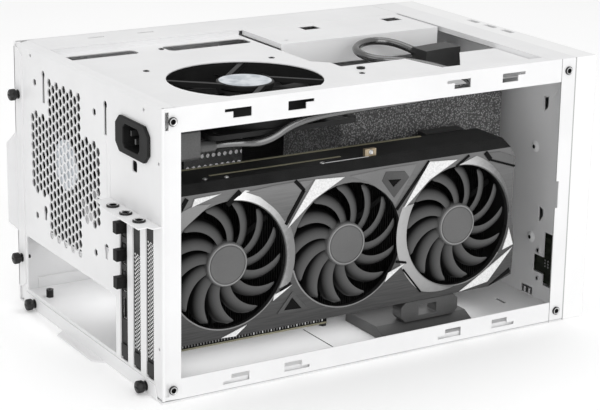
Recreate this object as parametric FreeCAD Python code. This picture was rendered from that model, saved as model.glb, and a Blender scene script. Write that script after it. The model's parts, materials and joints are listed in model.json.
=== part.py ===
import FreeCAD
import Part
import math
import os

# Whole case in mm: X runs rear to front, Y from the open side to the far side, Z up
case_length = 372.0
case_width = 247.0
case_height = 210.0
bezel_depth = 21.0
sheet = 1.0
panel_gap = 0.5
fit_gap = 0.2
rim = 14.0
top_rail_height = 17.7
bottom_rail_height = 15.0
floor_top = 8.0
plate_drop = 4.0
near_lip = 11.5
far_lip = 40.0
cross_lip = 24.0
rear_lip = 10.0

# Fasteners
screw_r = 1.5
screw_head_r = 3.2
screw_head_h = 1.6
screw_gap = 0.05
small_sides = 6
round_sides = 42
hub_sides = 18
screw_hole_r = screw_r + screw_gap
corner_inset_x = 7.7
corner_inset_z = 9.5
thumb_r = 4.5
thumb_head = 7.5

# Case fans
fan_size = 120.0
fan_depth = 25.0
fan_wall = 2.5
fan_hole_inset = 7.5
fan_hub_r = 20.0
fan_tip_gap = 1.2
pin_r = 2.0
pin_gap = 0.05
top_fan_margin = 9.2
rear_fan_margin = 27.3

# Expansion slots and board
slot_pitch = 20.32
slot_width = 11.8
slot_low = 12.0
shelf_top = 128.0
shelf_reach = 16.0
io_width = 158.75
io_height = 44.45
io_low = 12.8
board_hole_pitch_y = 157.48
board_hole_pitch_x = 154.94
board_hole_step = 22.86
board_hole_back = 13.16
board_hole_side = 11.15
standoff_h = 6.4
board_hole_r = 1.3
board_hole_deep = 5.0

# Power supply and its lead
psu_length = 150.0
psu_depth = 86.0
psu_tall = 140.0
psu_inset = 73.5
psu_sink = 28.2
lead_r = 3.0
lead_sides = 6
relief_r = 4.4

# Graphics card
card_offset = 6.2
card_depth = 53.0
card_setback = 6.0
card_low = 34.0
card_tall = 115.0
board_thick = 1.6
card_fan_first = 52.3
card_fan_pitch = 98.7
card_fan_lift = 53.6
card_fan_r = 47.0
card_hub_r = 16.3
card_blades = 13

# Levels that follow from the values above
x_back = -case_length / 2
x_face = case_length / 2
x_plate = x_face - bezel_depth
y_near = -case_width / 2
y_out = case_width / 2
y_far = y_out - sheet - panel_gap
z_low = sheet + panel_gap
z_top = case_height
x_in_rear = x_back + rim
x_in_front = x_plate - rim
x_cross = x_plate - cross_lip
plate_top = z_top - plate_drop
plate_low = plate_top - sheet
y_far_lip = y_far - far_lip
fan_bore_r = fan_size / 2 - fan_wall
fan_pitch = fan_size - 2 * fan_hole_inset

# Along the case: what both fans and the power supply leave free is shared by three gaps
gap_parts = (33.0, 53.0, 22.0)
spare_x = case_length - bezel_depth - 2 * sheet - fan_depth - fan_size - psu_length
rear_gap = spare_x * gap_parts[0] / sum(gap_parts)
well_gap = spare_x * gap_parts[1] / sum(gap_parts)
top_fan_x = x_back + sheet + fan_depth + rear_gap + fan_size / 2
psu_x = top_fan_x + fan_size / 2 + well_gap

# Across the case: what the three slots and the port opening leave free is shared by three margins
margin_parts = (13.76, 7.30, 13.25)
spare_y = case_width - sheet - panel_gap - 2 * slot_pitch - slot_width - io_width
near_margin = spare_y * margin_parts[0] / sum(margin_parts)
port_margin = spare_y * margin_parts[1] / sum(margin_parts)
slot_first_y = y_near + near_margin + slot_width / 2 + 2 * slot_pitch
io_near_y = slot_first_y + slot_width / 2 + port_margin
top_fan_y = y_near + top_fan_margin + fan_size / 2
rear_fan_y = y_far - rear_fan_margin - fan_size / 2
psu_y = y_near + psu_inset + near_margin - margin_parts[0]
psu_top = z_top - psu_sink
board_hole_x = x_back + board_hole_back
board_hole_y = io_near_y - board_hole_side

# Upwards: the rear fan stands between the port opening and the top plate, the inlet above the card
fan_lift_parts = (15.05, 12.70)
io_top = io_low + io_height
fan_room = plate_low - io_top - fan_size
rear_fan_z = io_top + fan_room * fan_lift_parts[0] / sum(fan_lift_parts) + fan_size / 2
card_back_y = slot_first_y + card_offset
card_face_y = card_back_y - card_depth
card_left = x_back + card_setback
card_high = card_low + card_tall
card_fan_x0 = card_left + card_fan_first
card_fan_z = card_low + card_fan_lift
moulding_low = 13.0
moulding_high = 10.0
inlet_parts = (18.0, 20.0)
inlet_room = z_top - card_high - moulding_low - moulding_high
inlet_deep_parts = (200.0, 160.0, 65.0)
inlet_deep_room = sheet + fan_depth + rear_gap
inlet_deep = inlet_deep_room * inlet_deep_parts[0] / sum(inlet_deep_parts)
moulding_t = inlet_deep_room * inlet_deep_parts[1] / sum(inlet_deep_parts)
inlet_end = 4.5
inlet_y = y_near + 42.2
inlet_z = card_high + inlet_room * inlet_parts[0] / sum(inlet_parts) + moulding_low


def vec(p):
    return FreeCAD.Vector(p[0], p[1], p[2])


def box(x0, x1, y0, y1, z0, z1):
    return Part.makeBox(x1 - x0, y1 - y0, z1 - z0, FreeCAD.Vector(x0, y0, z0))


def rod(r, p, d, h):
    return Part.makeCylinder(r, h, vec(p), vec(d))


def place(plane, a, b, level):
    if plane == "yz":
        return FreeCAD.Vector(level, a, b)
    if plane == "xz":
        return FreeCAD.Vector(a, level, b)
    return FreeCAD.Vector(a, b, level)


def ring(plane, points, level):
    corners = [place(plane, a, b, level) for a, b in points]
    return Part.makePolygon(corners + corners[:1])


def slab(plane, outline, level, thick, holes=()):
    # Flat sheet drawn in a plane at one level, with its openings, given its thickness
    wires = [ring(plane, outline, level)]
    for hole in holes:
        wires.append(ring(plane, hole, level))
    face = Part.makeFace(wires, "Part::FaceMakerBullseye")
    return face.extrude(place(plane, 0.0, 0.0, thick))


def rect(a0, a1, b0, b1):
    return [(a0, b0), (a1, b0), (a1, b1), (a0, b1)]


def cut_rect(a0, a1, b0, b1, c):
    return [(a0 + c, b0), (a1 - c, b0), (a1, b0 + c), (a1, b1 - c),
            (a1 - c, b1), (a0 + c, b1), (a0, b1 - c), (a0, b0 + c)]


def gon(a, b, r, n, turn=0.0):
    angles = [math.radians(turn + 360.0 * k / n) for k in range(n)]
    return [(a + r * math.cos(t), b + r * math.sin(t)) for t in angles]


def join(shapes):
    return shapes[0].multiFuse(shapes[1:]).removeSplitter()


def group(shapes):
    return Part.makeCompound(shapes)


def peg(r, n, p, d, h):
    # Many-sided rod for small repeated pins and holes
    body = slab("xy", gon(0.0, 0.0, r, n), 0.0, h)
    turn = FreeCAD.Rotation(FreeCAD.Vector(0, 0, 1), vec(d))
    body.Placement = FreeCAD.Placement(vec(p), turn)
    return body


def bore(p, d, h):
    # Clearance hole for a screw, its flats a little outside the shank
    return peg(screw_hole_r / math.cos(math.pi / small_sides), small_sides, p, d, h)


def screw(p, d, length, head_r=screw_head_r):
    # Head seated at p, shank running along d
    start = vec(p) - vec(d) * screw_head_h
    head = peg(head_r, 2 * small_sides, start, d, screw_head_h)
    return head.fuse(peg(screw_r, small_sides, p, d, length)).removeSplitter()


parts = {}

# Near-side hook slots: start of the main cut and the side its tongue is on
hook_slots = [(x_in_rear + 40.0, -1), (x_in_rear + 83.5, 1), (x_in_front - 99.0, -1), (x_in_front - 55.5, 1)]
hook_width = 14.5
hook_low = 5.7
hook_tall = 6.7
tongue_tall = 2.2
tongue_reach = 6.5
corner_x = [x_back + corner_inset_x, x_plate - corner_inset_x]
corner_z = [z_low + corner_inset_z - 2.0, z_top - corner_inset_z]


def hook_outline(x, side, z0, up):
    # Main cut with a narrow tongue along its outer edge
    z1 = z0 + hook_tall
    if up:
        tongue = (z1 - tongue_tall, z1)
    else:
        tongue = (z0, z0 + tongue_tall)
    a = x
    b = x + hook_width
    if side < 0:
        t = a - tongue_reach
        if up:
            return [(a, z0), (b, z0), (b, z1), (t, z1), (t, tongue[0]), (a, tongue[0])]
        return [(t, z0), (b, z0), (b, z1), (a, z1), (a, tongue[1]), (t, tongue[1])]
    t = b + tongue_reach
    if up:
        return [(a, z0), (b, z0), (b, tongue[0]), (t, tongue[0]), (t, z1), (a, z1)]
    return [(a, z0), (t, z0), (t, tongue[1]), (b, tongue[1]), (b, z1), (a, z1)]


# Rear panel: flat sheet with its openings and four folded edges
grille_pitch = 14.0
grille_r = 6.6
grille_low = io_top + 9.75
grille_high = z_top - 15.0
grille_y = rear_fan_y
grille_z = (grille_low + grille_high) / 2
column_half_y = 30.5
column_half_z = (grille_high - grille_low) / 2
band_half_y = fan_size / 2 + 4.0
band_half_z = 35.0
inlet_half_y = 21.0
inlet_half_z = 11.0


def in_grille(y, z):
    dy = abs(y - grille_y) + grille_r
    dz = abs(z - grille_z) + grille_r
    in_column = dy <= column_half_y + 2.5 and dz <= column_half_z + 2.5
    return in_column or (dy <= band_half_y + 2.5 and dz <= band_half_z + 2.5)


rear_holes = []
for col in range(-7, 8):
    for row in range(-7, 8):
        y = grille_y + col * grille_pitch * math.sqrt(3.0) / 2
        z = grille_z + (row + 0.5 * (col % 2)) * grille_pitch
        if in_grille(y, z):
            rear_holes.append(gon(y, z, grille_r, 6))
for sy in (-1, 1):
    for sz in (-1, 1):
        fy = rear_fan_y + sy * fan_pitch / 2
        fz = rear_fan_z + sz * fan_pitch / 2
        rear_holes.append(gon(fy, fz, 2.6, 6))
hole_near_y = rear_fan_y - fan_pitch / 2
key_share = 0.428
key_near_y = hole_near_y - key_share * (hole_near_y - inlet_y - inlet_half_y)
key_head = 2.0
key_neck = 1.1
key_low = grille_z + band_half_z + 6.0
key_high = z_top - 13.0
for y in (rear_fan_y + 36.3, key_near_y):
    rear_holes.append([(y - key_neck, key_low), (y + key_neck, key_low), (y + key_neck, key_high - 6.0),
                       (y + key_head, key_high - 4.0), (y + key_head, key_high - 1.0), (y + 0.8, key_high),
                       (y - 0.8, key_high), (y - key_head, key_high - 1.0), (y - key_head, key_high - 4.0),
                       (y - key_neck, key_high - 6.0)])
    rear_holes.append(gon(y, grille_z - 46.0, 4.0, 6))
pin_holes = ((y_far - 27.5, z_top - 6.4), (y_near + 27.5, z_top - 6.4), (y_near + 5.5, z_top - 39.2),
             (y_near + 5.5, z_low + 37.1))
for y, z in pin_holes:
    rear_holes.append(gon(y, z, 1.7, 6))
rear_holes.append(cut_rect(inlet_y - inlet_half_y, inlet_y + inlet_half_y,
                           inlet_z - inlet_half_z, inlet_z + inlet_half_z, 4.0))
rear_holes.append(cut_rect(inlet_y - 4.5, inlet_y + 3.5, inlet_z - 23.5, inlet_z - 15.5, 1.5))
rear_holes.append(rect(io_near_y, io_near_y + io_width, io_low, io_low + io_height))
slot_y = [slot_first_y - k * slot_pitch for k in range(3)]
for y in slot_y:
    rear_holes.append(rect(y - slot_width / 2, y + slot_width / 2, slot_low, shelf_top - sheet + fit_gap))
plate = slab("yz", rect(y_near, y_far, z_low, z_top), x_back, sheet, rear_holes)
near_edge = box(x_back, x_in_rear, y_near, y_near + sheet, z_low, z_top)
far_edge = box(x_back, x_in_rear, y_far - sheet, y_far, z_low, z_top)
top_edge = box(x_back, x_back + rear_lip, y_near, y_far, z_top - sheet, z_top)
low_edge = box(x_back, x_back + rear_lip, y_near, y_far, z_low, z_low + sheet)
rear = join([plate, near_edge, far_edge, top_edge, low_edge])
rear_thumb_far = [(y_far - 4.8, z_top - 40.7), (y_far - 4.8, z_low + 35.3)]
rear_thumb_low = [(y_far - 28.1, z_low + 3.9), (y_near + 24.8, z_low + 3.9)]
for z in corner_z:
    rear = rear.cut(bore((corner_x[0], y_near - 1, z), (0, 1, 0), sheet + 2))
for y, z in rear_thumb_far + rear_thumb_low:
    rear = rear.cut(bore((x_back - 1, y, z), (1, 0, 0), sheet + 2))
parts["rear_panel"] = rear

# Clamp shelf over the slots: flat sheet, slanted at its far end and stepped at its near end
shelf_near = slot_y[2] - slot_width / 2 - 0.66 * near_margin
shelf_far = slot_y[0] + 21.0
shelf_x = x_back - shelf_reach
shelf_line = [(x_back, shelf_near - 3.5), (x_back - 7.0, shelf_near - 3.5), (x_back - 8.5, shelf_near + 1.0),
              (shelf_x, shelf_near), (shelf_x, slot_y[0] - 5.0), (shelf_x + 5.0, shelf_far),
              (x_back, shelf_far)]
shelf = slab("xy", shelf_line, shelf_top - sheet, sheet)
slot_screw_x = x_back - 7.8
slot_head_r = 4.6
for y in slot_y:
    shelf = shelf.cut(bore((slot_screw_x, y, shelf_top - 3), (0, 0, 1), 6))
parts["slot_shelf"] = shelf
slot_screws = [screw((slot_screw_x, y, shelf_top), (0, 0, -1), 5.0, slot_head_r) for y in slot_y]
parts["slot_screws"] = group(slot_screws)

# Rails along the open side: upright face with hook slots, turned edge, end tabs behind the uprights
rail_tab = rim - 2.5
for name, z0, z1, hook_z, up in (
        ("near_top_rail", z_top - top_rail_height, z_top, z_top - hook_low - hook_tall, True),
        ("near_bottom_rail", z_low, z_low + bottom_rail_height, hook_low - 0.5, False)):
    holes = [hook_outline(x, side, hook_z, up) for x, side in hook_slots]
    face = slab("xz", rect(x_in_rear, x_in_front, z0, z1), y_near, sheet, holes)
    if up:
        lip = box(x_back + rear_lip + fit_gap, x_cross - fit_gap, y_near, y_near + near_lip, z1 - sheet, z1)
        lip = lip.cut(box(x_back, x_in_rear, y_near - 1, y_near + sheet + fit_gap, z1 - 3, z1 + 1))
        tab_z0 = z0 + 2.0
        tab_z1 = z1 - 3.0
    else:
        lip = box(x_in_rear, x_in_front, y_near, y_near + near_lip, z0, z0 + sheet)
        tab_z0 = z0 + 2.5
        tab_z1 = z1 - 2.0
    tab_y0 = y_near + sheet
    tab_y1 = y_near + 2 * sheet
    back_tab = box(x_in_rear - rail_tab, x_in_rear + 3.0, tab_y0, tab_y1, tab_z0, tab_z1)
    front_tab = box(x_in_front - 3.0, x_in_front + rail_tab, tab_y0, tab_y1, tab_z0, tab_z1)
    rail = join([face, lip, back_tab, front_tab])
    z = corner_z[1] if up else corner_z[0]
    for x in corner_x:
        rail = rail.cut(bore((x, y_near - 1, z), (0, 1, 0), 5))
    parts[name] = rail
corner_spots = [(x, y_near, z) for x in corner_x for z in corner_z]
parts["corner_screws"] = group([screw(spot, (0, 1, 0), 2 * sheet) for spot in corner_spots])

# Rails on the far side
far_x0 = x_in_rear + fit_gap
far_x1 = x_in_front - fit_gap
lip_x0 = x_back + rear_lip + fit_gap
lip_x1 = x_cross - fit_gap
well_x = psu_x - 0.566 * well_gap
far_top = join([box(far_x0, far_x1, y_far - sheet, y_far, z_top - top_rail_height, z_top),
                box(lip_x0, lip_x1, y_far_lip, y_far - sheet - fit_gap, z_top - sheet, z_top),
                box(far_x0, lip_x1, y_far - 2 * sheet, y_far, z_top - sheet, z_top),
                box(lip_x0, well_x, y_far_lip, y_far_lip + sheet, plate_top, z_top)])
for x in (x_in_rear + 47.0, x_in_rear + 90.0):
    far_top = far_top.cut(box(x - 7.0, x + 7.0, y_far - 16.0, y_far - 13.5, z_top - 3, z_top + 1))
parts["far_top_rail"] = far_top
far_low = join([box(far_x0, far_x1, y_far - sheet, y_far, z_low, z_low + bottom_rail_height),
                box(far_x0, far_x1, y_far - near_lip, y_far, z_low, z_low + sheet)])
parts["far_bottom_rail"] = far_low

# Floor pan: flat sheet with its long edges turned down on to the rails
pan_near = y_near + 2 * sheet + fit_gap
pan_far = y_far - sheet - fit_gap
pan_back = x_back + sheet + fit_gap
pan_front = x_plate - sheet - fit_gap
pan_holes = [rect(x_plate - 31.0, x_plate - 28.5, y_near + 35.5, y_near + 48.5)]
pan = slab("xy", rect(pan_back, pan_front, pan_near, pan_far), floor_top - sheet, sheet, pan_holes)
edge_x0 = x_in_rear + fit_gap
edge_x1 = x_in_front - fit_gap
near_turn = box(edge_x0, edge_x1, pan_near, pan_near + sheet, z_low + sheet, floor_top)
far_turn = box(edge_x0, edge_x1, pan_far - sheet, pan_far, z_low + sheet, floor_top)
pan = join([pan, near_turn, far_turn])
standoffs = [(board_hole_x + board_hole_step, board_hole_y),
             (board_hole_x, board_hole_y + board_hole_pitch_y),
             (board_hole_x + board_hole_pitch_x, board_hole_y),
             (board_hole_x + board_hole_pitch_x, board_hole_y + board_hole_pitch_y)]
posts = []
for x, y in standoffs:
    post = slab("xy", gon(x, y, 3.2, 6), floor_top, standoff_h)
    stud = peg(screw_r, small_sides, (x, y, floor_top - sheet - 1.5), (0, 0, 1), sheet + 1.5)
    post = post.fuse(stud).removeSplitter()
    thread_z = floor_top + standoff_h - board_hole_deep
    posts.append(post.cut(rod(board_hole_r, (x, y, thread_z), (0, 0, 1), board_hole_deep + 1.0)))
    pan = pan.cut(bore((x, y, floor_top - 3), (0, 0, 1), 6))
parts["floor_pan"] = pan
parts["board_standoffs"] = group(posts)

# Front plate with its four folded edges
tie_y = y_near + 34.5
tie_z = z_top - 43.0
arrow_z = z_low + 75.7
near_peg_y = y_near + 43.3
panel_cut = [(11.5, 19.3), (26.5, 19.3), (26.5, 28.2), (38.9, 28.2), (38.9, 42.3), (26.5, 42.3), (26.5, 63.2),
             (11.5, 63.2)]
front_holes = [
    [(tie_y + 0.3, tie_z - 6.8), (tie_y + 0.8, tie_z + 6.6), (tie_y - 1.8, tie_z + 4.9),
     (tie_y - 4.7, tie_z + 6.4), (tie_y - 4.5, tie_z - 2.0)],
    gon(near_peg_y, z_top - 79.6, 1.6, 8), gon(near_peg_y, z_low + 54.8, 1.6, 8),
    [(tie_y + 0.4, arrow_z - 7.0), (tie_y + 0.8, arrow_z + 7.0), (tie_y - 4.7, arrow_z + 4.9),
     (tie_y - 5.2, arrow_z)],
    [(y_near + dy, z_low + dz) for dy, dz in panel_cut],
    rect(y_near + 38.5, y_near + 52.6, floor_top + 0.6, floor_top + 7.0)]
plate = slab("yz", rect(y_near, y_far, z_low, z_top), x_plate - sheet, sheet, front_holes)
front = join([plate,
              box(x_in_front + fit_gap, x_plate, y_near, y_near + sheet, z_low, z_top),
              box(x_in_front + fit_gap, x_plate, y_far - sheet, y_far, z_low, z_top),
              box(x_cross, x_plate, y_near + sheet, y_far - sheet, z_top - sheet, z_top),
              box(x_cross, x_cross + sheet, y_near + near_lip, y_far_lip, plate_top, z_top),
              box(x_in_front + fit_gap, x_plate, y_near, y_far, z_low, z_low + sheet)])
for z in corner_z:
    front = front.cut(bore((corner_x[1], y_near - 1, z), (0, 1, 0), sheet + 2))
notch_low = z_low + 91.5
notch_tall = 21.5
notch_deep = 2.6
front = front.cut(box(x_in_front, x_in_front + notch_deep, y_near - 1, y_near + sheet + 1, notch_low,
                      notch_low + notch_tall))
parts["front_plate"] = front

# Sunken top plate with the fan opening, cable slots and the notch beside the power supply
psu_port_x = psu_x + 105.0
psu_port_y = psu_y + 25.0
well_y = psu_y - 3.0
notch_x0 = psu_port_x - 43.5
notch_x1 = psu_port_x - 27.0
notch_y = psu_y - 40.0
notch_flare = (8.0, 26.0)
well_edge = psu_x - 4.0
cage_back = psu_x - 0.4528 * well_gap
cage_width = 62.0
cage_near = y_far_lip - cage_width
plate_line = [(x_back + sheet + fit_gap, y_near + 2 * sheet + fit_gap),
              (x_cross - fit_gap, y_near + 2 * sheet + fit_gap), (x_cross - fit_gap, well_y),
              (notch_x1 + notch_flare[1], well_y), (notch_x1, notch_y), (notch_x0, notch_y),
              (notch_x0 - notch_flare[0], well_y), (well_edge, well_y), (well_edge, well_y + 15.0),
              (well_x, well_y + 25.0), (well_x, y_far_lip - fit_gap),
              (x_back + sheet + fit_gap, y_far_lip - fit_gap)]
plate_holes = [cut_rect(x_in_rear, x_in_rear + 60.0, y_far_lip - 26.0, y_far_lip - 12.0, 3.0),
               cut_rect(x_in_rear + 84.0, well_x - 4.0, y_far_lip - 30.0, y_far_lip - 12.0, 3.0)]
for dx, dy in ((-1, 1), (1, 1), (-1, -1), (1, -1)):
    plate_holes.append(gon(top_fan_x + dx * fan_pitch / 2, top_fan_y + dy * fan_pitch / 2, 2.3, 6))
plate_holes.append(gon(x_in_rear + 80.0, y_far_lip - 22.0, 1.6, 6))
plate_holes.append(gon(top_fan_x, top_fan_y, fan_bore_r - 0.5, round_sides))
top = slab("xy", plate_line, plate_low, sheet, plate_holes)
far_fold = box(x_back + rear_lip, well_x, y_far_lip - sheet - fit_gap, y_far_lip - fit_gap,
               plate_low, z_top - sheet)
top = top.fuse(far_fold).removeSplitter()
plate_screw = (psu_x + 5.0, psu_y - 16.0)
top = top.cut(bore((plate_screw[0], plate_screw[1], plate_low - 1), (0, 0, 1), 4))
parts["top_plate"] = top

# Drive cage: top sheet, side wall and bottom sheet folded from one strip
cage_front = x_cross - 3.0
cage_low = psu_top + 8.0
cage_far = y_far_lip - fit_gap
cage_holes = [rect(cage_back + 45.0, cage_back + 60.0, cage_far - 23.8, cage_far - 10.8),
              rect(cage_front - 23.5, cage_front - 8.5, cage_far - 23.8, cage_far - 10.8),
              gon(cage_back + 11.0, cage_near + 11.0, 2.0, 6)]
cage = join([slab("xy", rect(cage_back, cage_front, cage_near, cage_far), z_top - sheet, sheet, cage_holes),
             box(cage_back, cage_front, cage_near, cage_near + sheet, cage_low, z_top),
             box(cage_back, cage_front, cage_near, y_far - sheet - fit_gap, cage_low, cage_low + sheet)])
parts["drive_cage"] = cage

# Power supply, its bracket, socket and switch
psu_far = psu_y + psu_depth
psu_front = psu_x + psu_length
psu_low = psu_top - psu_tall
psu = box(psu_x, psu_front, psu_y, psu_far, psu_low, psu_top)
psu = psu.makeChamfer(1.2, psu.Edges)
port_half_x = 14.0
port_half_y = 10.0
port_deep = 18.0
psu = psu.cut(box(psu_port_x - port_half_x, psu_port_x + port_half_x, psu_port_y - port_half_y,
                  psu_port_y + port_half_y, psu_top - port_deep, psu_top + 1))
switch_x = psu_port_x
switch_y = psu_port_y + 30.0
switch_half_x = 10.5
rocker_half_x = 9.6
switch_half_y = 6.5
switch_gap = 0.35
psu = psu.cut(box(switch_x - switch_half_x - switch_gap, switch_x + switch_half_x + switch_gap,
                  switch_y - switch_half_y - switch_gap, switch_y + switch_half_y + switch_gap,
                  psu_top - 14.0, psu_top + 1))
vent_holes = []
for col in range(3):
    for row in range(2):
        vent_holes.append(gon(psu_x + 20.0 + col * 26.0, psu_y + 26.0 + row * 34.0, 10.5, 6))
for hole in vent_holes:
    psu = psu.cut(slab("xy", hole, psu_top - 6.0, 8.0))
pivot_z = psu_top - 4.0
axle_r = 1.5
axle_y0 = switch_y - switch_half_y - switch_gap
axle_len = 2 * (switch_half_y + switch_gap)
psu = psu.fuse(rod(axle_r, (switch_x, axle_y0, pivot_z), (0, 1, 0), axle_len)).removeSplitter()
parts["psu_case"] = psu
rocker_line = [(switch_x - rocker_half_x, psu_top + 1.2), (switch_x, psu_top - 0.6),
               (switch_x + rocker_half_x, psu_top - 0.6), (switch_x + 6.0, psu_top - 9.0),
               (switch_x - 6.0, psu_top - 9.0)]
rocker = slab("xz", rocker_line, switch_y - switch_half_y, 2 * switch_half_y)
rocker_bore = rod(axle_r + pin_gap, (switch_x, axle_y0 - 1, pivot_z), (0, 1, 0), axle_len + 2)
parts["psu_switch"] = rocker.cut(rocker_bore)
socket = box(psu_port_x - port_half_x, psu_port_x + port_half_x, psu_port_y - port_half_y,
             psu_port_y + port_half_y, psu_top - port_deep, psu_top)
plug_half_x = 11.6
plug_half_y = 7.4
plug_gap = 0.2
socket = socket.cut(box(psu_port_x - plug_half_x - plug_gap, psu_port_x + plug_half_x + plug_gap,
                        psu_port_y - plug_half_y - plug_gap, psu_port_y + plug_half_y + plug_gap,
                        psu_top - port_deep + 2.0, psu_top + 1))
parts["psu_socket"] = socket
bracket_window = rect(psu_x + 6.0, psu_front - 6.0, psu_y + 6.0, psu_far - 6.0)
bracket_line = rect(psu_x - 0.34 * well_gap, x_plate - sheet, psu_y - 8.0, psu_far + 5.0)
bracket = join([slab("xy", bracket_line, psu_top, sheet, [bracket_window]),
                box(psu_x, psu_x + 32.0, psu_y - 8.0, psu_y - 7.0, psu_top, plate_low),
                box(psu_x, psu_x + 32.0, psu_y - 22.0, psu_y - 7.0, plate_low - sheet, plate_low),
                box(x_plate - 2 * sheet, x_plate - sheet, psu_y - 8.0, psu_far + 5.0,
                    psu_top, psu_top + 16.0)])
bracket = bracket.cut(bore((plate_screw[0], plate_screw[1], plate_low - 4), (0, 0, 1), 8))
parts["psu_bracket"] = bracket
parts["plate_screw"] = screw((plate_screw[0], plate_screw[1], plate_top), (0, 0, -1), 4.0)

# Mains inlet on the rear panel and its moulded back
inlet_flange = slab("yz", cut_rect(inlet_y - 25.0, inlet_y + 25.0, inlet_z - 13.0, inlet_z + 13.0, 6.0),
                    x_back - 2.5, 2.5)
inlet_body = slab("yz", cut_rect(inlet_y - inlet_half_y + fit_gap, inlet_y + inlet_half_y - fit_gap,
                                 inlet_z - inlet_half_z + fit_gap, inlet_z + inlet_half_z - fit_gap, 4.0),
                  x_back, inlet_deep)
inlet = inlet_flange.fuse(inlet_body).removeSplitter()
inlet = inlet.cut(slab("yz", cut_rect(inlet_y - 12.5, inlet_y + 12.5, inlet_z - 8.5, inlet_z + 8.5, 3.0),
                       x_back - 3.5, inlet_deep - inlet_end + 3.5))
blades = []
for dy, dz in ((-7.0, 2.0), (7.0, 2.0), (0.0, -2.5)):
    blades.append(box(x_back + 1.0, x_back + inlet_deep - inlet_end, inlet_y + dy - 1.0, inlet_y + dy + 1.0,
                      inlet_z + dz - 2.0, inlet_z + dz + 2.0))
parts["power_inlet"] = inlet
parts["inlet_pins"] = group(blades)
moulding_x = x_back + inlet_deep + moulding_t
relief_parts = (11.0, 211.0)
relief_room = plate_low - fan_depth - card_high - 2 * relief_r
lead_y = y_near + 19.5
lead_z = plate_low - fan_depth - relief_r - relief_room * relief_parts[0] / sum(relief_parts)
relief_run = 14.0
lead_root = (moulding_x, lead_y, lead_z)
lead_start = (moulding_x + relief_run, lead_y, lead_z)
moulding_line = cut_rect(inlet_y - 29.7, inlet_y + 19.3, inlet_z - moulding_low, inlet_z + moulding_high, 2.5)
moulding = join([slab("yz", moulding_line, x_back + inlet_deep, moulding_t),
                 peg(relief_r, 10, lead_root, (1, 0, 0), relief_run)])
parts["inlet_moulding"] = moulding

# Lead: straight runs joined by arcs that touch both runs
plug_half = (13.5, 9.5)
plug_back = 19.0
plug_spot = FreeCAD.Vector(psu_port_x - plug_back + 3.3, psu_port_y + plug_half[1], psu_top + 19.0)
relief_len = 3.0
loop_room = cage_near - psu_port_y
rail_y = y_near + 5.1
rail_x0 = x_back + 108.0
rail_x1 = psu_port_x - 28.0
loop_x = psu_port_x - 68.0
last_turn = (psu_port_x - 19.6, psu_port_y + 0.678 * loop_room, z_top - 5.5)
plug_way = (plug_spot - vec(last_turn)).normalize()
lead_points = [lead_start, (x_back + 65.0, lead_y, lead_z), (x_back + 83.0, rail_y + 0.2, lead_z + 0.7),
               (rail_x0, rail_y, z_top - 21.0),
               (rail_x0 + 0.33 * (rail_x1 - rail_x0), rail_y - 0.4, z_top - 18.2),
               (rail_x0 + 0.68 * (rail_x1 - rail_x0), rail_y + 0.2, z_top - 17.6),
               (rail_x1, y_near + 11.5, z_top - 16.4), (psu_port_x - 18.0, psu_y - 34.0, z_top - 14.0),
               (psu_port_x - 32.0, psu_y - 8.0, z_top - 10.0), (psu_port_x - 48.0, psu_y + 4.5, z_top - 7.5),
               (loop_x - 1.0, psu_port_y - 7.5, z_top - 6.5),
               (loop_x, psu_port_y + 0.378 * loop_room, z_top - 5.0),
               (loop_x + 14.0, psu_port_y + 0.733 * loop_room, z_top - 4.0),
               (loop_x + 32.0, psu_port_y + 0.889 * loop_room, z_top - 4.0), last_turn,
               tuple(plug_spot - plug_way * relief_len)]


def tube(points, r):
    runs = []
    spots = [vec(p) for p in points]
    start = spots[0]
    last = len(spots) - 1
    for k in range(1, last):
        a = spots[k] - spots[k - 1]
        b = spots[k + 1] - spots[k]
        turn = a.getAngle(b)
        reach = 0.45 * min(a.Length, b.Length)
        bend = reach / math.tan(turn / 2)
        a.normalize()
        b.normalize()
        p = spots[k] - a * reach
        q = spots[k] + b * reach
        inward = (b - a)
        inward.normalize()
        mid = spots[k] + inward * (bend / math.cos(turn / 2) - bend)
        runs.append(Part.makeLine(start, p))
        runs.append(Part.Arc(p, mid, q).toShape())
        start = q
        print("lead bend radius", round(bend, 1))
    runs.append(Part.makeLine(start, spots[last]))
    path = Part.Wire(runs)
    first = (spots[1] - spots[0]).normalize()
    section = slab("xy", gon(0.0, 0.0, r, lead_sides), 0.0, 1.0).Faces
    section = [f for f in section if abs(f.CenterOfMass.z) < 1e-6][0].OuterWire
    section.Placement = FreeCAD.Placement(spots[0], FreeCAD.Rotation(FreeCAD.Vector(0, 0, 1), first))
    area = Part.Face(section).Area
    solid = path.makePipeShell([section], True, False)
    print("lead length", round(path.Length, 1), "volume ratio", round(solid.Volume / (path.Length * area), 4))
    return solid


parts["power_lead"] = tube(lead_points, lead_r)
plug = join([box(psu_port_x - plug_half[0], psu_port_x + plug_half[0], psu_port_y - plug_half[1],
                 psu_port_y + plug_half[1], psu_top + sheet + 1.0, psu_top + 24.0),
             slab("xz", [(psu_port_x, psu_top + 10.0), (psu_port_x, psu_top + 24.0),
                         (psu_port_x - plug_back, psu_top + 23.0), (psu_port_x - plug_back, psu_top + 14.5)],
                  psu_port_y - plug_half[1], 2 * plug_half[1]),
             box(psu_port_x - plug_half_x, psu_port_x + plug_half_x, psu_port_y - plug_half_y,
                 psu_port_y + plug_half_y, psu_top - port_deep + 3.0, psu_top + 3.0),
             peg(4.2, small_sides, plug_spot + plug_way * 5.0, plug_way * -1.0, relief_len + 5.0)])
parts["lead_plug"] = plug

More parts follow.
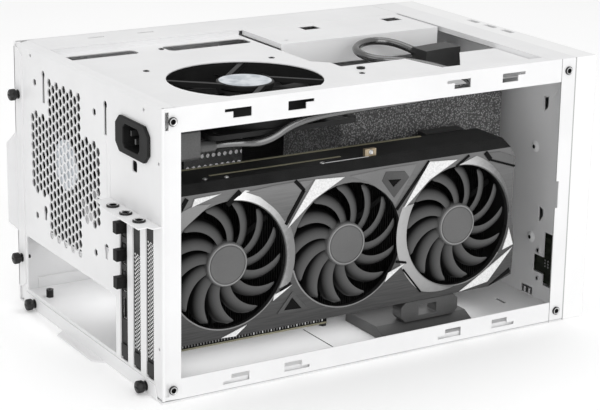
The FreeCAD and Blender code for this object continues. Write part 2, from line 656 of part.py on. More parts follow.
# Bottom panel and far side panel with their rear flanges and finger pulls
flange_h = 10.5
low_flange = [(y_near + 7.5, 0.0), (y_out - 7.5, 0.0), (y_out - 11.5, flange_h), (y_near + 11.5, flange_h)]
low_panel = join([box(x_back - sheet, x_plate, y_near, y_out, 0.0, sheet),
                  slab("yz", low_flange, x_back - sheet, sheet),
                  slab("xy", [(x_back - sheet, -34.0), (x_back - 9.0, -27.0), (x_back - 9.0, 34.0),
                              (x_back - sheet, 41.0)], 0.0, sheet)])
for y, z in rear_thumb_low:
    low_panel = low_panel.cut(bore((x_back - 3, y, z), (1, 0, 0), 4))
parts["bottom_panel"] = low_panel
side_y = y_out - sheet
side_low = sheet + fit_gap
far_holes = []
vent_x0 = x_back + 102.0
vent_z0 = 60.0
for col in range(6):
    for row in range(4):
        far_x = vent_x0 + col * 24.5
        far_z = vent_z0 + row * 25.0
        far_holes.append(rect(far_x, far_x + 18.0, far_z, far_z + 17.0))
far_edge = [(y_out - 13.0, flange_h + 7.0), (y_out - 5.0, flange_h + 2.0), (y_out, flange_h + 2.0),
            (y_out, z_top - 4.0), (y_out - 5.0, z_top - 4.0), (y_out - 13.0, z_top - 9.0)]
pull_line = [(x_back - sheet, 58.0), (x_back - 9.0, 66.0), (x_back - 9.0, 130.0), (x_back - sheet, 138.0)]
side_panel = join([slab("xz", rect(x_back - sheet, x_plate, side_low, z_top), side_y, sheet, far_holes),
                   slab("yz", far_edge, x_back - sheet, sheet),
                   slab("xz", pull_line, side_y, sheet)])
for y, z in rear_thumb_far:
    side_panel = side_panel.cut(bore((x_back - 3, y, z), (1, 0, 0), 4))
parts["far_side_panel"] = side_panel
filter_t = 0.5
filter_x0 = vent_x0 - 8.0
filter_x1 = vent_x0 + 150.0
filter_z0 = vent_z0 - 8.0
filter_z1 = vent_z0 + 106.0
parts["dust_filter"] = box(filter_x0, filter_x1, side_y - filter_t, side_y, filter_z0, filter_z1)
thumbs = []
for y, z in rear_thumb_far + rear_thumb_low:
    head = slab("yz", gon(y, z, thumb_r, 16), x_back - sheet - thumb_head, thumb_head)
    neck = peg(screw_r, small_sides, (x_back - sheet, y, z), (1, 0, 0), 7.0)
    thumbs.append(head.fuse(neck).removeSplitter())
parts["thumb_screws"] = group(thumbs)

# Front bezel, power button and front ports
bezel_wall = 2.5
bezel = box(x_plate, x_face, y_near, y_out, 0.0, z_top)
front_edges = [e for e in bezel.Edges if e.BoundBox.XMin > x_face - 0.01]
bezel = bezel.makeChamfer(2.0, front_edges)
bezel = bezel.cut(box(x_plate - 1, x_face - bezel_wall, y_near + bezel_wall, y_out - bezel_wall,
                      bezel_wall, z_top - bezel_wall))
for y in (26.0, 3.0, -20.0):
    bezel = bezel.cut(box(x_face - 10.5, x_face - 5.5, y - 7.0, y + 7.0, z_top - 4, z_top + 1))
    bezel = bezel.cut(box(x_face - 10.5, x_face - 5.5, y - 7.0, y + 7.0, -1, 4))
panel_y = y_near + 19.5
button_z = 57.0
button_r = 5.5
button_gap = 0.35
button_travel = 1.2
port_z = (42.0, 30.0)
port_half = (3.4, 7.2)
bezel = bezel.cut(rod(button_r + button_gap, (x_face - 6, panel_y, button_z), (1, 0, 0), 8))
for z in port_z:
    reach_y = port_half[1] + fit_gap
    reach_z = port_half[0] + fit_gap
    bezel = bezel.cut(box(x_face - 6, x_face + 1, panel_y - reach_y, panel_y + reach_y, z - reach_z, z + reach_z))
parts["front_bezel"] = bezel
io_board_x = x_plate + 1.5
board_t = 1.6
parts["front_io_board"] = box(io_board_x, io_board_x + board_t, panel_y - 9.0, panel_y + 9.0, 22.0, 66.0)
ports = []
for z in port_z:
    shell = box(io_board_x + board_t, x_face - 0.3, panel_y - port_half[1], panel_y + port_half[1],
                z - port_half[0], z + port_half[0])
    shell = shell.cut(box(x_face - 12.0, x_face, panel_y - port_half[1] + 0.6, panel_y + port_half[1] - 0.6,
                          z - port_half[0] + 0.6, z + port_half[0] - 0.6))
    tongue = box(x_face - 12.0, x_face - 2.0, panel_y - 5.5, panel_y + 5.5, z + 0.2, z + 1.8)
    ports.append(shell.fuse(tongue).removeSplitter())
parts["front_ports"] = group(ports)
parts["button_switch"] = box(io_board_x + board_t, x_face - 12.5, panel_y - 3.0, panel_y + 3.0,
                             button_z - 3.0, button_z + 3.0)
stem_x = x_face - 12.5 + button_travel + 0.4
button = join([peg(button_r, 28, (x_face - 8.0, panel_y, button_z), (1, 0, 0), 7.8),
               peg(2.0, small_sides, (stem_x, panel_y, button_z), (1, 0, 0), 4.0)])
parts["power_button"] = button

# Case fans: frame with struts, hub and pin, then the rotor that turns on the pin


def petal(r0, r1, width, lean, n, thick, pitch, mid):
    # Flat swept blades about +Z, each tilted on its own radius
    blades = []
    for k in range(n):
        inner = width * 0.55
        half_r = r0 + (r1 - r0) * 0.5
        tip_a = lean - width * 0.6
        tip_b = lean + width
        line = [(r0 - 1.0, -inner), (half_r, lean * 0.35 - width * 0.75),
                (math.sqrt(r1 ** 2 - tip_a ** 2), tip_a), (math.sqrt(r1 ** 2 - tip_b ** 2), tip_b),
                (half_r, lean * 0.35 + width * 0.75), (r0 - 1.0, inner)]
        leaf = slab("xy", line, -thick / 2, thick)
        leaf.rotate(FreeCAD.Vector(0, 0, 0), FreeCAD.Vector(1, 0, 0), pitch)
        leaf.translate(FreeCAD.Vector(0, 0, mid))
        leaf.rotate(FreeCAD.Vector(0, 0, 0), FreeCAD.Vector(0, 0, 1), 360.0 * k / n)
        blades.append(leaf)
    return blades


def rotor(hub_r, tip_r, depth, n, width, lean, pitch, level):
    # Hub from z = 0 to z = depth, bore right through
    hub = slab("xy", gon(0, 0, hub_r, hub_sides), 0.0, depth)
    leaves = petal(hub_r, tip_r, width, lean, n, 1.4, pitch, level)
    body = hub.multiFuse(leaves).removeSplitter()
    return body.cut(Part.makeCylinder(pin_r + pin_gap, depth - 1.5, FreeCAD.Vector(0, 0, -0.5)))


strut_deep = 4.0
strut_half = 1.8
strut_start = 15.0
strut_sweep = -42.0
rotor_deep = fan_depth - strut_deep - 3.0


def fan_frame():
    # Square frame from z = 0 up, struts and hub on its top face, pin pointing down
    half = fan_size / 2
    body = slab("xy", cut_rect(-half, half, -half, half, 5.0), 0.0, fan_depth)
    body = body.cut(slab("xy", gon(0, 0, fan_bore_r, round_sides), -1.0, fan_depth + 2))
    z0 = fan_depth - strut_deep
    arms = []
    for k in range(4):
        a = math.radians(strut_start + 90.0 * k)
        b = a + math.radians(strut_sweep)
        start = FreeCAD.Vector((fan_hub_r - 1.5) * math.cos(a), (fan_hub_r - 1.5) * math.sin(a), z0)
        way = FreeCAD.Vector((fan_bore_r + 1.2) * math.cos(b), (fan_bore_r + 1.2) * math.sin(b), z0) - start
        arm = box(0.0, way.Length, -strut_half, strut_half, 0.0, strut_deep - 0.5)
        arm.rotate(FreeCAD.Vector(0, 0, 0), FreeCAD.Vector(0, 0, 1), math.degrees(math.atan2(way.y, way.x)))
        arm.translate(start)
        arms.append(arm)
    cap = slab("xy", gon(0, 0, fan_hub_r + 1.0, hub_sides), z0, strut_deep)
    pin = peg(pin_r, 16, (0, 0, z0 - 12.0), (0, 0, 1), 12.0)
    return body.multiFuse(arms + [cap, pin]).removeSplitter()


def fan_rotor():
    # Rotor hung from the pin, its open end towards the hub cap
    body = rotor(fan_hub_r, fan_bore_r - fan_tip_gap, rotor_deep, 9, 13.0, 7.0, 32.0, 6.5)
    body.rotate(FreeCAD.Vector(0, 0, 0), FreeCAD.Vector(1, 0, 0), 180.0)
    body.translate(FreeCAD.Vector(0, 0, fan_depth - strut_deep - 0.8))
    return body


rear_base = x_back + sheet + fan_depth
for name, make in (("rear_fan_frame", fan_frame), ("rear_fan_rotor", fan_rotor)):
    shape = make()
    shape.rotate(FreeCAD.Vector(0, 0, 0), FreeCAD.Vector(0, 1, 0), -90.0)
    shape.translate(FreeCAD.Vector(rear_base, rear_fan_y, rear_fan_z))
    parts[name] = shape
for name, make in (("top_fan_frame", fan_frame), ("top_fan_rotor", fan_rotor)):
    shape = make()
    shape.translate(FreeCAD.Vector(top_fan_x, top_fan_y, plate_low - fan_depth))
    parts[name] = shape

# Graphics card: bracket, board, cooler, shroud and fans
card_fan_x = [card_fan_x0 + k * card_fan_pitch for k in range(3)]
bracket_x = x_back + sheet
bracket_y0 = slot_y[2] - slot_width / 2 - 0.24 * near_margin
bracket_y1 = slot_y[0] + slot_width / 2 + 0.45 * port_margin
bracket_holes = []
for y in slot_y[1:]:
    for row in range(7):
        for side in (-1, 1):
            z = 32.0 + row * 12.0 + (3.0 if side > 0 else -3.0)
            bracket_holes.append(gon(y + side * 2.8, z, 2.7, 4))
port_rows = [51.0 + 20.3 * k for k in range(4)]
for z in port_rows:
    bracket_holes.append(rect(slot_y[0] - 2.5, slot_y[0] + 4.5, z - 8.5, z + 8.5))
bracket_top = shelf_top - sheet
bracket_face = rect(bracket_y0, bracket_y1, slot_low + 4.0, bracket_top)
face = slab("yz", bracket_face, bracket_x, sheet, bracket_holes)
tabs = []
for y in slot_y:
    tab = box(x_back - 12.5, bracket_x + sheet, y - 5.6, y + 5.6, bracket_top - sheet, bracket_top)
    tabs.append(tab.cut(bore((slot_screw_x, y, bracket_top - 3), (0, 0, 1), 6)))
    tabs.append(box(bracket_x, bracket_x + sheet, y - 4.0, y + 4.0, slot_low - 2.0, slot_low + 4.0))
parts["card_bracket"] = face.multiFuse(tabs).removeSplitter()
video = []
for z in port_rows:
    shell = box(bracket_x + sheet, bracket_x + 16.0, slot_y[0] - 2.0, slot_y[0] + 4.0, z - 8.0, z + 8.0)
    mouth = box(bracket_x, bracket_x + 12.0, slot_y[0] - 1.2, slot_y[0] + 3.2, z - 7.2, z + 7.2)
    video.append(shell.cut(mouth))
parts["card_ports"] = group(video)
caps = []
for z in port_rows[1:]:
    grip = box(x_back - 6.5, bracket_x, slot_y[0] - 2.3, slot_y[0] + 3.7, z - 4.2, z + 4.2)
    stem = box(bracket_x, bracket_x + 9.0, slot_y[0] - 1.2, slot_y[0] + 3.2, z - 7.1, z + 7.1)
    caps.append(join([grip, stem]))
parts["port_caps"] = group(caps)
board_y0 = card_back_y - board_thick
board_low = card_low - 6.0
board_high = card_low + 106.0
finger_low = board_low - 8.5
board_front = card_left + 288.0
fingers = (card_left + 51.0, card_left + 62.5, card_left + 64.5, card_left + 136.0)
board_line = [(bracket_x + 4.0, board_low), (fingers[0], board_low), (fingers[0], finger_low),
              (fingers[1], finger_low), (fingers[1], board_low), (fingers[2], board_low),
              (fingers[2], finger_low), (fingers[3], finger_low), (fingers[3], board_low),
              (board_front, board_low), (board_front, board_high), (bracket_x + 4.0, board_high)]
parts["card_board"] = slab("xz", board_line, board_y0, board_thick)
back_front = card_left + 292.0
back_line = [(bracket_x + 6.0, card_low - 2.0), (back_front - 12.0, card_low - 2.0),
             (back_front, card_low + 12.0), (back_front, board_high + 1.0), (bracket_x + 6.0, board_high + 1.0)]
parts["card_backplate"] = slab("xz", back_line, card_back_y, board_thick)
sink_back = board_y0 - 6.0
sink_front = card_face_y + 21.0
fin_x0 = card_left + 14.0
fin_count = 17
fin_t = 1.2
sink_length = 278.0
fin_step = (sink_length - fin_t) / (fin_count - 1)
fin_low = card_low - 7.0
fin_high = card_low + 102.0
base_t = 4.0
fins = [box(fin_x0, fin_x0 + sink_length, sink_back - base_t, sink_back, card_low + 6.0, card_low + 96.0)]
for k in range(fin_count):
    x = fin_x0 + k * fin_step
    fins.append(box(x, x + fin_t, sink_front, sink_back - base_t + 0.1, fin_low, fin_high))
core_x = card_left + 150.0
core_size = 40.0
core_low = card_low + 30.0
fins.append(box(core_x, core_x + core_size, sink_back - 0.1, board_y0, core_low, core_low + core_size))
parts["card_heatsink"] = join(fins)
socket_x = card_left + 246.0
socket_length = 36.0
socket_deep = 10.9
parts["card_power_socket"] = box(socket_x, socket_x + socket_length, board_y0 - socket_deep, board_y0,
                                 board_high - 3.5, board_high + 10.0)
shroud_length = 303.4
shroud_front = card_left + shroud_length
skin = 2.0
shroud_deep = 40.0
brow_drop = 7.0
brow_deep = 8.0
shroud_line = [(card_left, card_low + 8.0), (card_left + 8.0, card_low), (shroud_front - 23.0, card_low),
               (shroud_front - 1.2, card_low + 6.7), (shroud_front, card_low + 31.5),
               (shroud_front - 3.0, card_low + 56.0), (shroud_front - 2.6, card_low + 101.2),
               (shroud_front - 10.0, card_high), (card_left + 6.0, card_high), (card_left, card_high - 6.0)]
shroud = slab("xz", shroud_line, card_face_y, shroud_deep)
brow_line = [(card_face_y - 1, card_high - brow_drop), (card_face_y - 1, card_high + 1),
             (card_face_y + brow_deep, card_high + 1)]
brow = slab("yz", brow_line, card_left - 1, shroud_length + 2)
shroud = shroud.cut(brow)
inner_top = card_high - skin - 3.0
inner_line = [(card_left + skin, card_low - 14.0), (shroud_front - 24.0, card_low - 14.0),
              (shroud_front - 4.0, card_low + 9.0), (shroud_front - skin, card_low + 31.5),
              (shroud_front - 3.0 - skin, card_low + 56.0), (shroud_front - 2.6 - skin, card_low + 99.0),
              (shroud_front - 12.0, inner_top), (card_left + skin, inner_top)]
hollow = slab("xz", inner_line, card_face_y + skin + 2.0, shroud_deep)
shroud = shroud.cut(hollow)
for x in card_fan_x:
    shroud = shroud.cut(slab("xz", gon(x, card_fan_z, card_fan_r, round_sides), card_face_y - 1, 8))
parts["card_shroud"] = shroud

# Bright plates on the shroud, each drawn from the axis of the fan beside it
trim_lines = [
    (0, [(-27.0, 52.7), (-6.0, 53.5), (-29.3, 46.9)]),
    (0, [(36.5, -32.2), (37.4, -27.9), (49.1, -23.6), (52.5, -22.4)]),
    (0, [(15.3, -46.3), (6.0, -53.4), (-6.0, -52.9)]),
    (1, [(-28.4, 53.5), (-3.5, 52.0), (-29.4, 38.6), (-51.3, 20.0)]),
    (1, [(33.5, -33.9), (36.2, -27.1), (51.6, -21.7)]),
    (2, [(-28.5, 53.7), (-2.9, 52.0), (-27.9, 39.7), (-48.7, 21.6), (-50.5, 20.8)]),
    (2, [(52.6, -22.6), (47.8, -8.3), (46.8, -13.8), (42.5, -25.5)]),
    (2, [(52.4, -24.5), (29.5, -49.1), (3.0, -52.9), (20.3, -43.4)])]
trim_t = 1.0
plates = []
for fan, line in trim_lines:
    spots = [(card_fan_x[fan] + a, card_fan_z + b) for a, b in line]
    plates.append(slab("xz", spots, card_face_y - trim_t, trim_t))
parts["card_trim"] = group(plates)
card_rotor_deep = 11.0
hub_front = card_face_y + 0.5
mounts = []
for k, x in enumerate(card_fan_x):
    body = rotor(card_hub_r, card_fan_r - 1.0, card_rotor_deep, card_blades, 9.0, 10.0, 21.0, 3.2)
    body.rotate(FreeCAD.Vector(0, 0, 0), FreeCAD.Vector(1, 0, 0), 90.0)
    body.translate(FreeCAD.Vector(x, hub_front + card_rotor_deep, card_fan_z))
    parts["card_fan_%d" % (k + 1)] = body
    base_y = hub_front + card_rotor_deep + 0.8
    plate_y = sink_front - 1.2
    cap = slab("xz", gon(x, card_fan_z, card_hub_r - 1.0, 12), base_y, plate_y + 1.2 - base_y)
    bits = [cap, peg(pin_r, 16, (x, base_y - 9.0, card_fan_z), (0, 1, 0), 9.0)]
    for turn in (30.0, 150.0, 270.0):
        arm = box(card_hub_r - 4.0, card_fan_r + 2.0, -2.0, 2.0, -1.2, 0.0)
        arm.rotate(FreeCAD.Vector(0, 0, 0), FreeCAD.Vector(0, 0, 1), turn)
        arm.rotate(FreeCAD.Vector(0, 0, 0), FreeCAD.Vector(1, 0, 0), 90.0)
        arm.translate(FreeCAD.Vector(x, plate_y, card_fan_z))
        bits.append(arm)
    mounts.append(join(bits))
parts["card_fan_mounts"] = group(mounts)

# Support under the free end of the card
support_x = card_left + 182.0
support_length = 82.0
support_near = y_near + 7.5
support_deep = 54.0
support_top = floor_top + 9.0
support_line = [(support_near, floor_top), (support_near + support_deep, floor_top),
                (support_near + support_deep, support_top), (support_near + 12.0, support_top),
                (support_near, floor_top + 3.0)]
parts["card_support_base"] = slab("yz", support_line, support_x, support_length)
clip_x = support_x + 20.0
clip_length = 52.0
clip_t = 12.0
clip_window = rect(clip_x + 16.0, clip_x + 32.0, support_top + 4.0, support_top + 12.0)
clip_line = cut_rect(clip_x, clip_x + clip_length, support_top, card_low - 1.0, 4.0)
parts["card_support_clip"] = slab("xz", clip_line, card_face_y + 2.0, clip_t, [clip_window])

os.makedirs("parts", exist_ok=True)
for name in parts:
    shape = parts[name]
    if not shape.isValid():
        print("not valid", name)
    shape.exportStep("parts/" + name + ".step")
print("nodes", len(parts))
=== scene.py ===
import json
import math
import bmesh
import bpy
import numpy as np
from mathutils import Matrix, Vector
from mathutils.geometry import delaunay_2d_cdt

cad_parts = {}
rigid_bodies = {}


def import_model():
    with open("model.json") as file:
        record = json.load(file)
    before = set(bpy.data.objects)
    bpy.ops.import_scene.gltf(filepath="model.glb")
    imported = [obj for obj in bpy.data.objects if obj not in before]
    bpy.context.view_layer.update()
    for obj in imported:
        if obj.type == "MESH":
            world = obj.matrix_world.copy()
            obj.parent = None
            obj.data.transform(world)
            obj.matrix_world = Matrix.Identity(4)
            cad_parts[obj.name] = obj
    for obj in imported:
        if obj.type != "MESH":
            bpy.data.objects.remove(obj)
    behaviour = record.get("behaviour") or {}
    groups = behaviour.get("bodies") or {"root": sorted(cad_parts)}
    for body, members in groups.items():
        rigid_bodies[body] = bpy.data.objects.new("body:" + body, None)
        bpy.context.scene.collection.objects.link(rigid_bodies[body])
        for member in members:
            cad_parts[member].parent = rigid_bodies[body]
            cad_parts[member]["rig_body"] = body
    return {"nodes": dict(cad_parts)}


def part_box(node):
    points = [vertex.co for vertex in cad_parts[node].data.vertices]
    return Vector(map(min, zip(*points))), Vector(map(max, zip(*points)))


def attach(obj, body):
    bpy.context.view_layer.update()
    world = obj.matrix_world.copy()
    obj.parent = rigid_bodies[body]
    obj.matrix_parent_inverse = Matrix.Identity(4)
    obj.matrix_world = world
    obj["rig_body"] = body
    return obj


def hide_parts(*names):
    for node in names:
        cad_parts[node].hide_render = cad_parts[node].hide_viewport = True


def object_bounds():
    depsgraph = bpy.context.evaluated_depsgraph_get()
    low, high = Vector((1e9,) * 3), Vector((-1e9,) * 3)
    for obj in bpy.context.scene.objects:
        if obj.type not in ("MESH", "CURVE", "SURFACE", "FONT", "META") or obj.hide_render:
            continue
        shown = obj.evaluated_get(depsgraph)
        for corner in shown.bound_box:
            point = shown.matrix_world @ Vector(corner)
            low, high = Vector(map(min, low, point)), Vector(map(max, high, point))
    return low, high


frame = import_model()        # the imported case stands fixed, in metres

cadLow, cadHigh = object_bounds()
nodes = frame["nodes"]
mm = 0.001
fullTurn = 2.0 * math.pi
print("stage: frame loaded,", len(nodes), "nodes")


def setSocket(tree, socket, value):
    # a wire is linked, a number or a colour is set
    if isinstance(value, Wire):
        tree.links.new(value.socket, socket)
    else:
        socket.default_value = value


def operator(operation, swapped=False):
    # an operator of a wire: a Math node fed by the two sides, swapped in the reflected form
    def made(self, other):
        return self.math(operation, other, self) if swapped else self.math(operation, self, other)
    return made


class Wire:
    # one output socket of a node tree: sums, differences, products and comparisons add Math nodes
    def __init__(self, tree, socket):
        self.tree = tree
        self.socket = socket

    def math(self, operation, *sides):
        node = self.tree.nodes.new("ShaderNodeMath")
        node.operation = operation
        for socket, value in zip(node.inputs, sides):
            setSocket(self.tree, socket, value)
        return Wire(self.tree, node.outputs[0])

    __add__ = operator("ADD")
    __radd__ = operator("ADD", True)
    __sub__ = operator("SUBTRACT")
    __rsub__ = operator("SUBTRACT", True)
    __mul__ = operator("MULTIPLY")
    __rmul__ = operator("MULTIPLY", True)
    __gt__ = operator("GREATER_THAN")


class Finish:
    # one procedural material; add() makes any other node from its type, settings and sockets
    def __init__(self, name, roughness=0.5, metallic=0.0):
        self.material = bpy.data.materials.new(name)
        self.material.use_nodes = True
        self.tree = self.material.node_tree
        self.shader = self.tree.nodes["Principled BSDF"]
        self.feed("Roughness", roughness)
        self.feed("Metallic", metallic)
        self.place = self.add("TexCoord", {}, {}, "Object")

    def add(self, kind, settings, sockets, out=0):
        node = self.tree.nodes.new("ShaderNode" + kind)
        for key, value in settings.items():
            if key == "stops":
                ramp = node.color_ramp
                while len(ramp.elements) < len(value):
                    ramp.elements.new(0.5)
                for element, (position, tone) in zip(ramp.elements, value):
                    element.position = position
                    element.color = (*(tone if isinstance(tone, tuple) else (tone,) * 3), 1.0)
            else:
                setattr(node, key, value)
        for key, value in sockets.items():
            setSocket(self.tree, node.inputs[key], value)
        return Wire(self.tree, node.outputs[out])

    def feed(self, name, value):
        setSocket(self.tree, self.shader.inputs[name], value)

    def noise(self, scale, detail=2.0, **mapping):
        place = self.place
        if mapping:
            place = self.add("Mapping", {}, {"Vector": place, **mapping})
        return self.add("TexNoise", {}, {"Vector": place, "Scale": scale, "Detail": detail})

    def axis(self, letter):
        # one Object coordinate, in metres
        return self.add("SeparateXYZ", {}, {"Vector": self.place}, letter)

    def run(self, letter, start, end):
        # 0 to 1 along one coordinate, from one place in mm to another
        return (self.axis(letter) - start * mm) * (1.0 / ((end - start) * mm))

    def within(self, letter, low, high):
        # 1 between two places in mm along one coordinate, 0 outside
        spot = self.axis(letter)
        return (spot > low * mm) * ((high * mm - spot) > 0.0)

    def tones(self, mask, *stops):
        # colour by a mask: each stop is a position with a grey or a colour
        self.feed("Base Color", self.add("ValToRGB", {"stops": stops}, {"Fac": mask}))

    def bump(self, height, strength, distance):
        sockets = {"Strength": strength, "Distance": distance, "Height": height}
        self.feed("Normal", self.add("Bump", {}, sockets))


def makeCoat(name, dark, light, shadowedSeams=()):
    # powder coat: faint clouds of tone, fine orange-peel grain, roughness that drifts a little,
    # and painted shadow along joints between limits of x on the near face
    coat = Finish(name, 0.40)
    clouds = coat.noise(22.0, 3.0)
    grain = coat.noise(1500.0)
    near = (-122.5 * mm - coat.axis("Y")) > 0.0
    for limits in shadowedSeams:
        clouds = clouds * (1.0 - coat.within("X", *limits) * near)
    coat.tones(clouds, (0.0, 0.42), (0.2, dark), (0.7, light))
    coat.feed("Roughness", 0.40 + (grain - 0.5) * 0.18)
    coat.bump(grain, 0.10, 0.0002)
    return coat


def makePlastic(name, dark, light, grainScale, grainStrength, roughness):
    # moulded plastic: fine spark texture and a slow drift of tone
    plastic = Finish(name, roughness)
    drift = plastic.noise(35.0, 3.0)
    spark = plastic.noise(grainScale, 1.0)
    plastic.tones(drift * 0.6 + spark * 0.4, (0.3, dark), (0.7, light))
    plastic.feed("Roughness", roughness + (spark - 0.5) * 0.16)
    plastic.bump(spark, grainStrength, 0.0002)
    return plastic


def makeBrushed(name, dark, light, along, roughness, metallic):
    # brushed sheet: long streaks, their tone, gloss and relief all from one stretched noise
    brushed = Finish(name, roughness, metallic)
    streak = brushed.noise(1.0, 3.0, Scale=along)
    brushed.tones(streak, (0.35, dark), (0.65, light))
    brushed.feed("Roughness", roughness + (streak - 0.5) * 0.3)
    brushed.bump(streak, 0.12, 0.0001)
    return brushed


def makeFront(name, dark, light, low, high):
    # brushed shroud face: slanted streaks over painted shade, a tone that deepens from level high down to level
    # low
    front = Finish(name, 0.40, 0.25)
    streak = front.noise(1.0, 3.0, Rotation=(0.0, 0.7, 0.0), Scale=(50.0, 50.0, 1500.0))
    front.tones(front.run("Z", low, high) * 0.7 + (streak - 0.5) * 0.55, (0.0, dark), (0.8, light))
    front.feed("Roughness", 0.36 + streak * 0.16)
    front.bump(streak, 0.10, 0.0001)
    return front


def makeBand(name, light, dark, startX, endX):
    # satin band: painted highlight, pale where it starts and greyer along x, with a fine grain
    band = Finish(name, 0.36, 0.15)
    grain = band.noise(420.0, 3.0)
    band.tones(band.run("X", startX, endX) + (grain - 0.5) * 0.22, (0.05, light), (0.95, dark))
    band.feed("Roughness", 0.30 + grain * 0.14)
    return band


def makeBlade(name, dark, light, front, back):
    # moulded vane: painted light and shade, pale at its forward edge and darkening towards the cooler behind it
    blade = Finish(name, 0.42)
    spark = blade.noise(1800.0, 1.0)
    blade.tones(blade.run("Y", back, front) + (spark - 0.5) * 0.12, (0.0, dark), (1.0, light))
    blade.feed("Roughness", 0.36 + spark * 0.14)
    blade.bump(spark, 0.06, 0.0002)
    return blade


def makeWrinkle(name):
    # wrinkle paint: raised cells a millimetre across, their crests painted pale as highlights, dull black
    # between them
    paint = Finish(name, 0.5)
    cells = paint.add("TexVoronoi", {"feature": "F1"}, {"Vector": paint.place, "Scale": 720.0}, "Distance")
    blots = paint.noise(900.0, 3.0)
    crest = 1.0 - cells + (blots - 0.5) * 0.9
    paint.tones(crest, (0.45, 0.075), (1.05, 0.52))
    paint.feed("Roughness", 0.62 - blots * 0.3)
    paint.bump(crest, 0.55, 0.0004)
    return paint


def makeLabel(name):
    # bare printed disc: pale blue-grey with soft cloudy wear
    label = Finish(name, 0.35)
    clouds = label.noise(140.0, 4.0)
    label.tones(clouds, (0.35, (0.42, 0.46, 0.50)), (0.62, (0.70, 0.73, 0.76)))
    label.feed("Roughness", 0.28 + clouds * 0.2)
    return label


def makeMesh(name, x0, x1, z0, z1):
    # woven dust mesh: two crossing sets of threads a millimetre apart, worn thin over one field
    mesh = Finish(name, 0.8)
    bands = {"wave_type": "BANDS", "wave_profile": "SIN"}
    sockets = {"Vector": mesh.place, "Scale": 160.0}
    sets = [mesh.add("TexWave", {**bands, "bands_direction": way}, sockets, "Fac") for way in "XZ"]
    thread = sets[0].math("MAXIMUM", *sets)
    mesh.tones(thread, (0.3, 0.003), (0.7, 0.016))
    mesh.bump(thread, 0.5, 0.0003)
    mesh.feed("Alpha", 1.0 - mesh.within("X", x0, x1) * mesh.within("Z", z0, z1) * 0.5)
    return mesh


def makeBoard(name):
    # solder mask: near-black olive with hair-fine tracks that run both ways
    board = Finish(name, 0.45)
    tracks = board.noise(60.0, 4.0, Scale=(14.0, 1.0, 3.0))
    board.tones(tracks, (0.42, (0.006, 0.008, 0.005)), (0.6, (0.022, 0.026, 0.018)))
    board.bump(tracks, 0.2, 0.0001)
    return board


# Each finish: its maker, then the values that the maker takes after the name
recipes = {
    # whiteCoat: its last entry gives the x limits of joints on the near face that get painted shadow
    "whiteCoat": (makeCoat, (0.79, 0.79, 0.79395), (0.845, 0.845, 0.849225),
                  [(150.7, 151.3), (163.9, 165.0)]),
    # a paler copy of the white coat: painted light on the drive cage's wall that faces the open side
    "cageCoat": (makeCoat, (0.92, 0.92, 0.9246), (0.95, 0.95, 0.95475)),
    "whitePlastic": (makePlastic, 0.86, 0.90, 1900.0, 0.06, 0.42),
    "blackPlastic": (makePlastic, 0.010, 0.022, 1700.0, 0.12, 0.40),
    "fanPlastic": (makePlastic, 0.010, 0.024, 1600.0, 0.10, 0.40),
    "bladePlastic": (makeBlade, 0.005, 0.105, -107.6, -103.3),
    "hubPlastic": (makePlastic, 0.095, 0.12, 1800.0, 0.05, 0.42),
    "shroudPlastic": (makePlastic, 0.010, 0.022, 1700.0, 0.10, 0.42),
    "shroudTop": (makePlastic, 0.006, 0.026, 1700.0, 0.10, 0.5),
    "shroudFront": (makeFront, 0.035, 0.15, 30.0, 125.0),
    "facetPlastic": (makePlastic, 0.20, 0.27, 1700.0, 0.06, 0.38),
    "panelPlastic": (makePlastic, 0.13, 0.19, 1700.0, 0.06, 0.40),
    "supportPlastic": (makePlastic, 0.045, 0.075, 1500.0, 0.14, 0.45),
    "mouldingPlastic": (makePlastic, 0.055, 0.10, 900.0, 0.14, 0.34),
    "rearBand": (makeBand, 0.92, 0.20, -122.0, -76.0),
    "topBand": (makeBand, 0.85, 0.15, 46.0, 112.0),
    "frontBand": (makeBand, 0.40, 0.20, 12.0, 70.0),
    "brushedPanel": (makeFront, 0.075, 0.20, 105.0, 140.0),
    "oliveEdge": (makePlastic, (0.16, 0.15, 0.095), (0.30, 0.28, 0.19), 500.0, 0.1, 0.5),
    "silverTrim": (makeBrushed, 0.68, 0.84, (900.0, 60.0, 900.0), 0.38, 0.2),
    # near-black aluminium: painted shade for the cooler that sits behind the fans
    "finAluminium": (makeBrushed, 0.006, 0.020, (300.0, 20.0, 300.0), 0.50, 0.1),
    "finTip": (makeBrushed, 0.14, 0.32, (300.0, 300.0, 300.0), 0.36, 0.5),
    "platedSteel": (makeBrushed, 0.55, 0.70, (400.0, 400.0, 60.0), 0.30, 0.9),
    "portSteel": (makeBrushed, 0.05, 0.10, (400.0, 400.0, 60.0), 0.35, 0.6),
    # pale steel of the baffle behind the bracket vents: painted light for their lit walls
    "punchedEdge": (makeBrushed, 0.80, 0.92, (400.0, 400.0, 60.0), 0.42, 0.0),
    "bracketSteel": (makeBrushed, 0.008, 0.024, (500.0, 60.0, 60.0), 0.34, 0.1),
    "backPlate": (makeBrushed, 0.035, 0.07, (40.0, 900.0, 900.0), 0.36, 0.6),
    "screwBlack": (makeBrushed, 0.012, 0.035, (300.0, 300.0, 300.0), 0.32, 0.5),
    "copperCoil": (makeBrushed, (0.24, 0.18, 0.11), (0.46, 0.38, 0.26), (500.0, 500.0, 90.0), 0.35, 0.4),
    "psuPaint": (makeWrinkle,),
    "hubLabel": (makeLabel,),
    "leadRubber": (makePlastic, 0.010, 0.020, 900.0, 0.03, 0.20),
    "filterMesh": (makeMesh, -40.0, 15.0, 82.0, 111.0),
    "circuitBoard": (makeBoard,),
    # near black for gaps, slots, recesses and holes: painted shade
    "darkGap": (makePlastic, 0.002, 0.005, 900.0, 0.1, 0.7)}
finishes = {name: maker(name, *values) for name, (maker, *values) in recipes.items()}
dull = "fanPlastic bladePlastic shroudTop finAluminium bracketSteel circuitBoard darkGap"
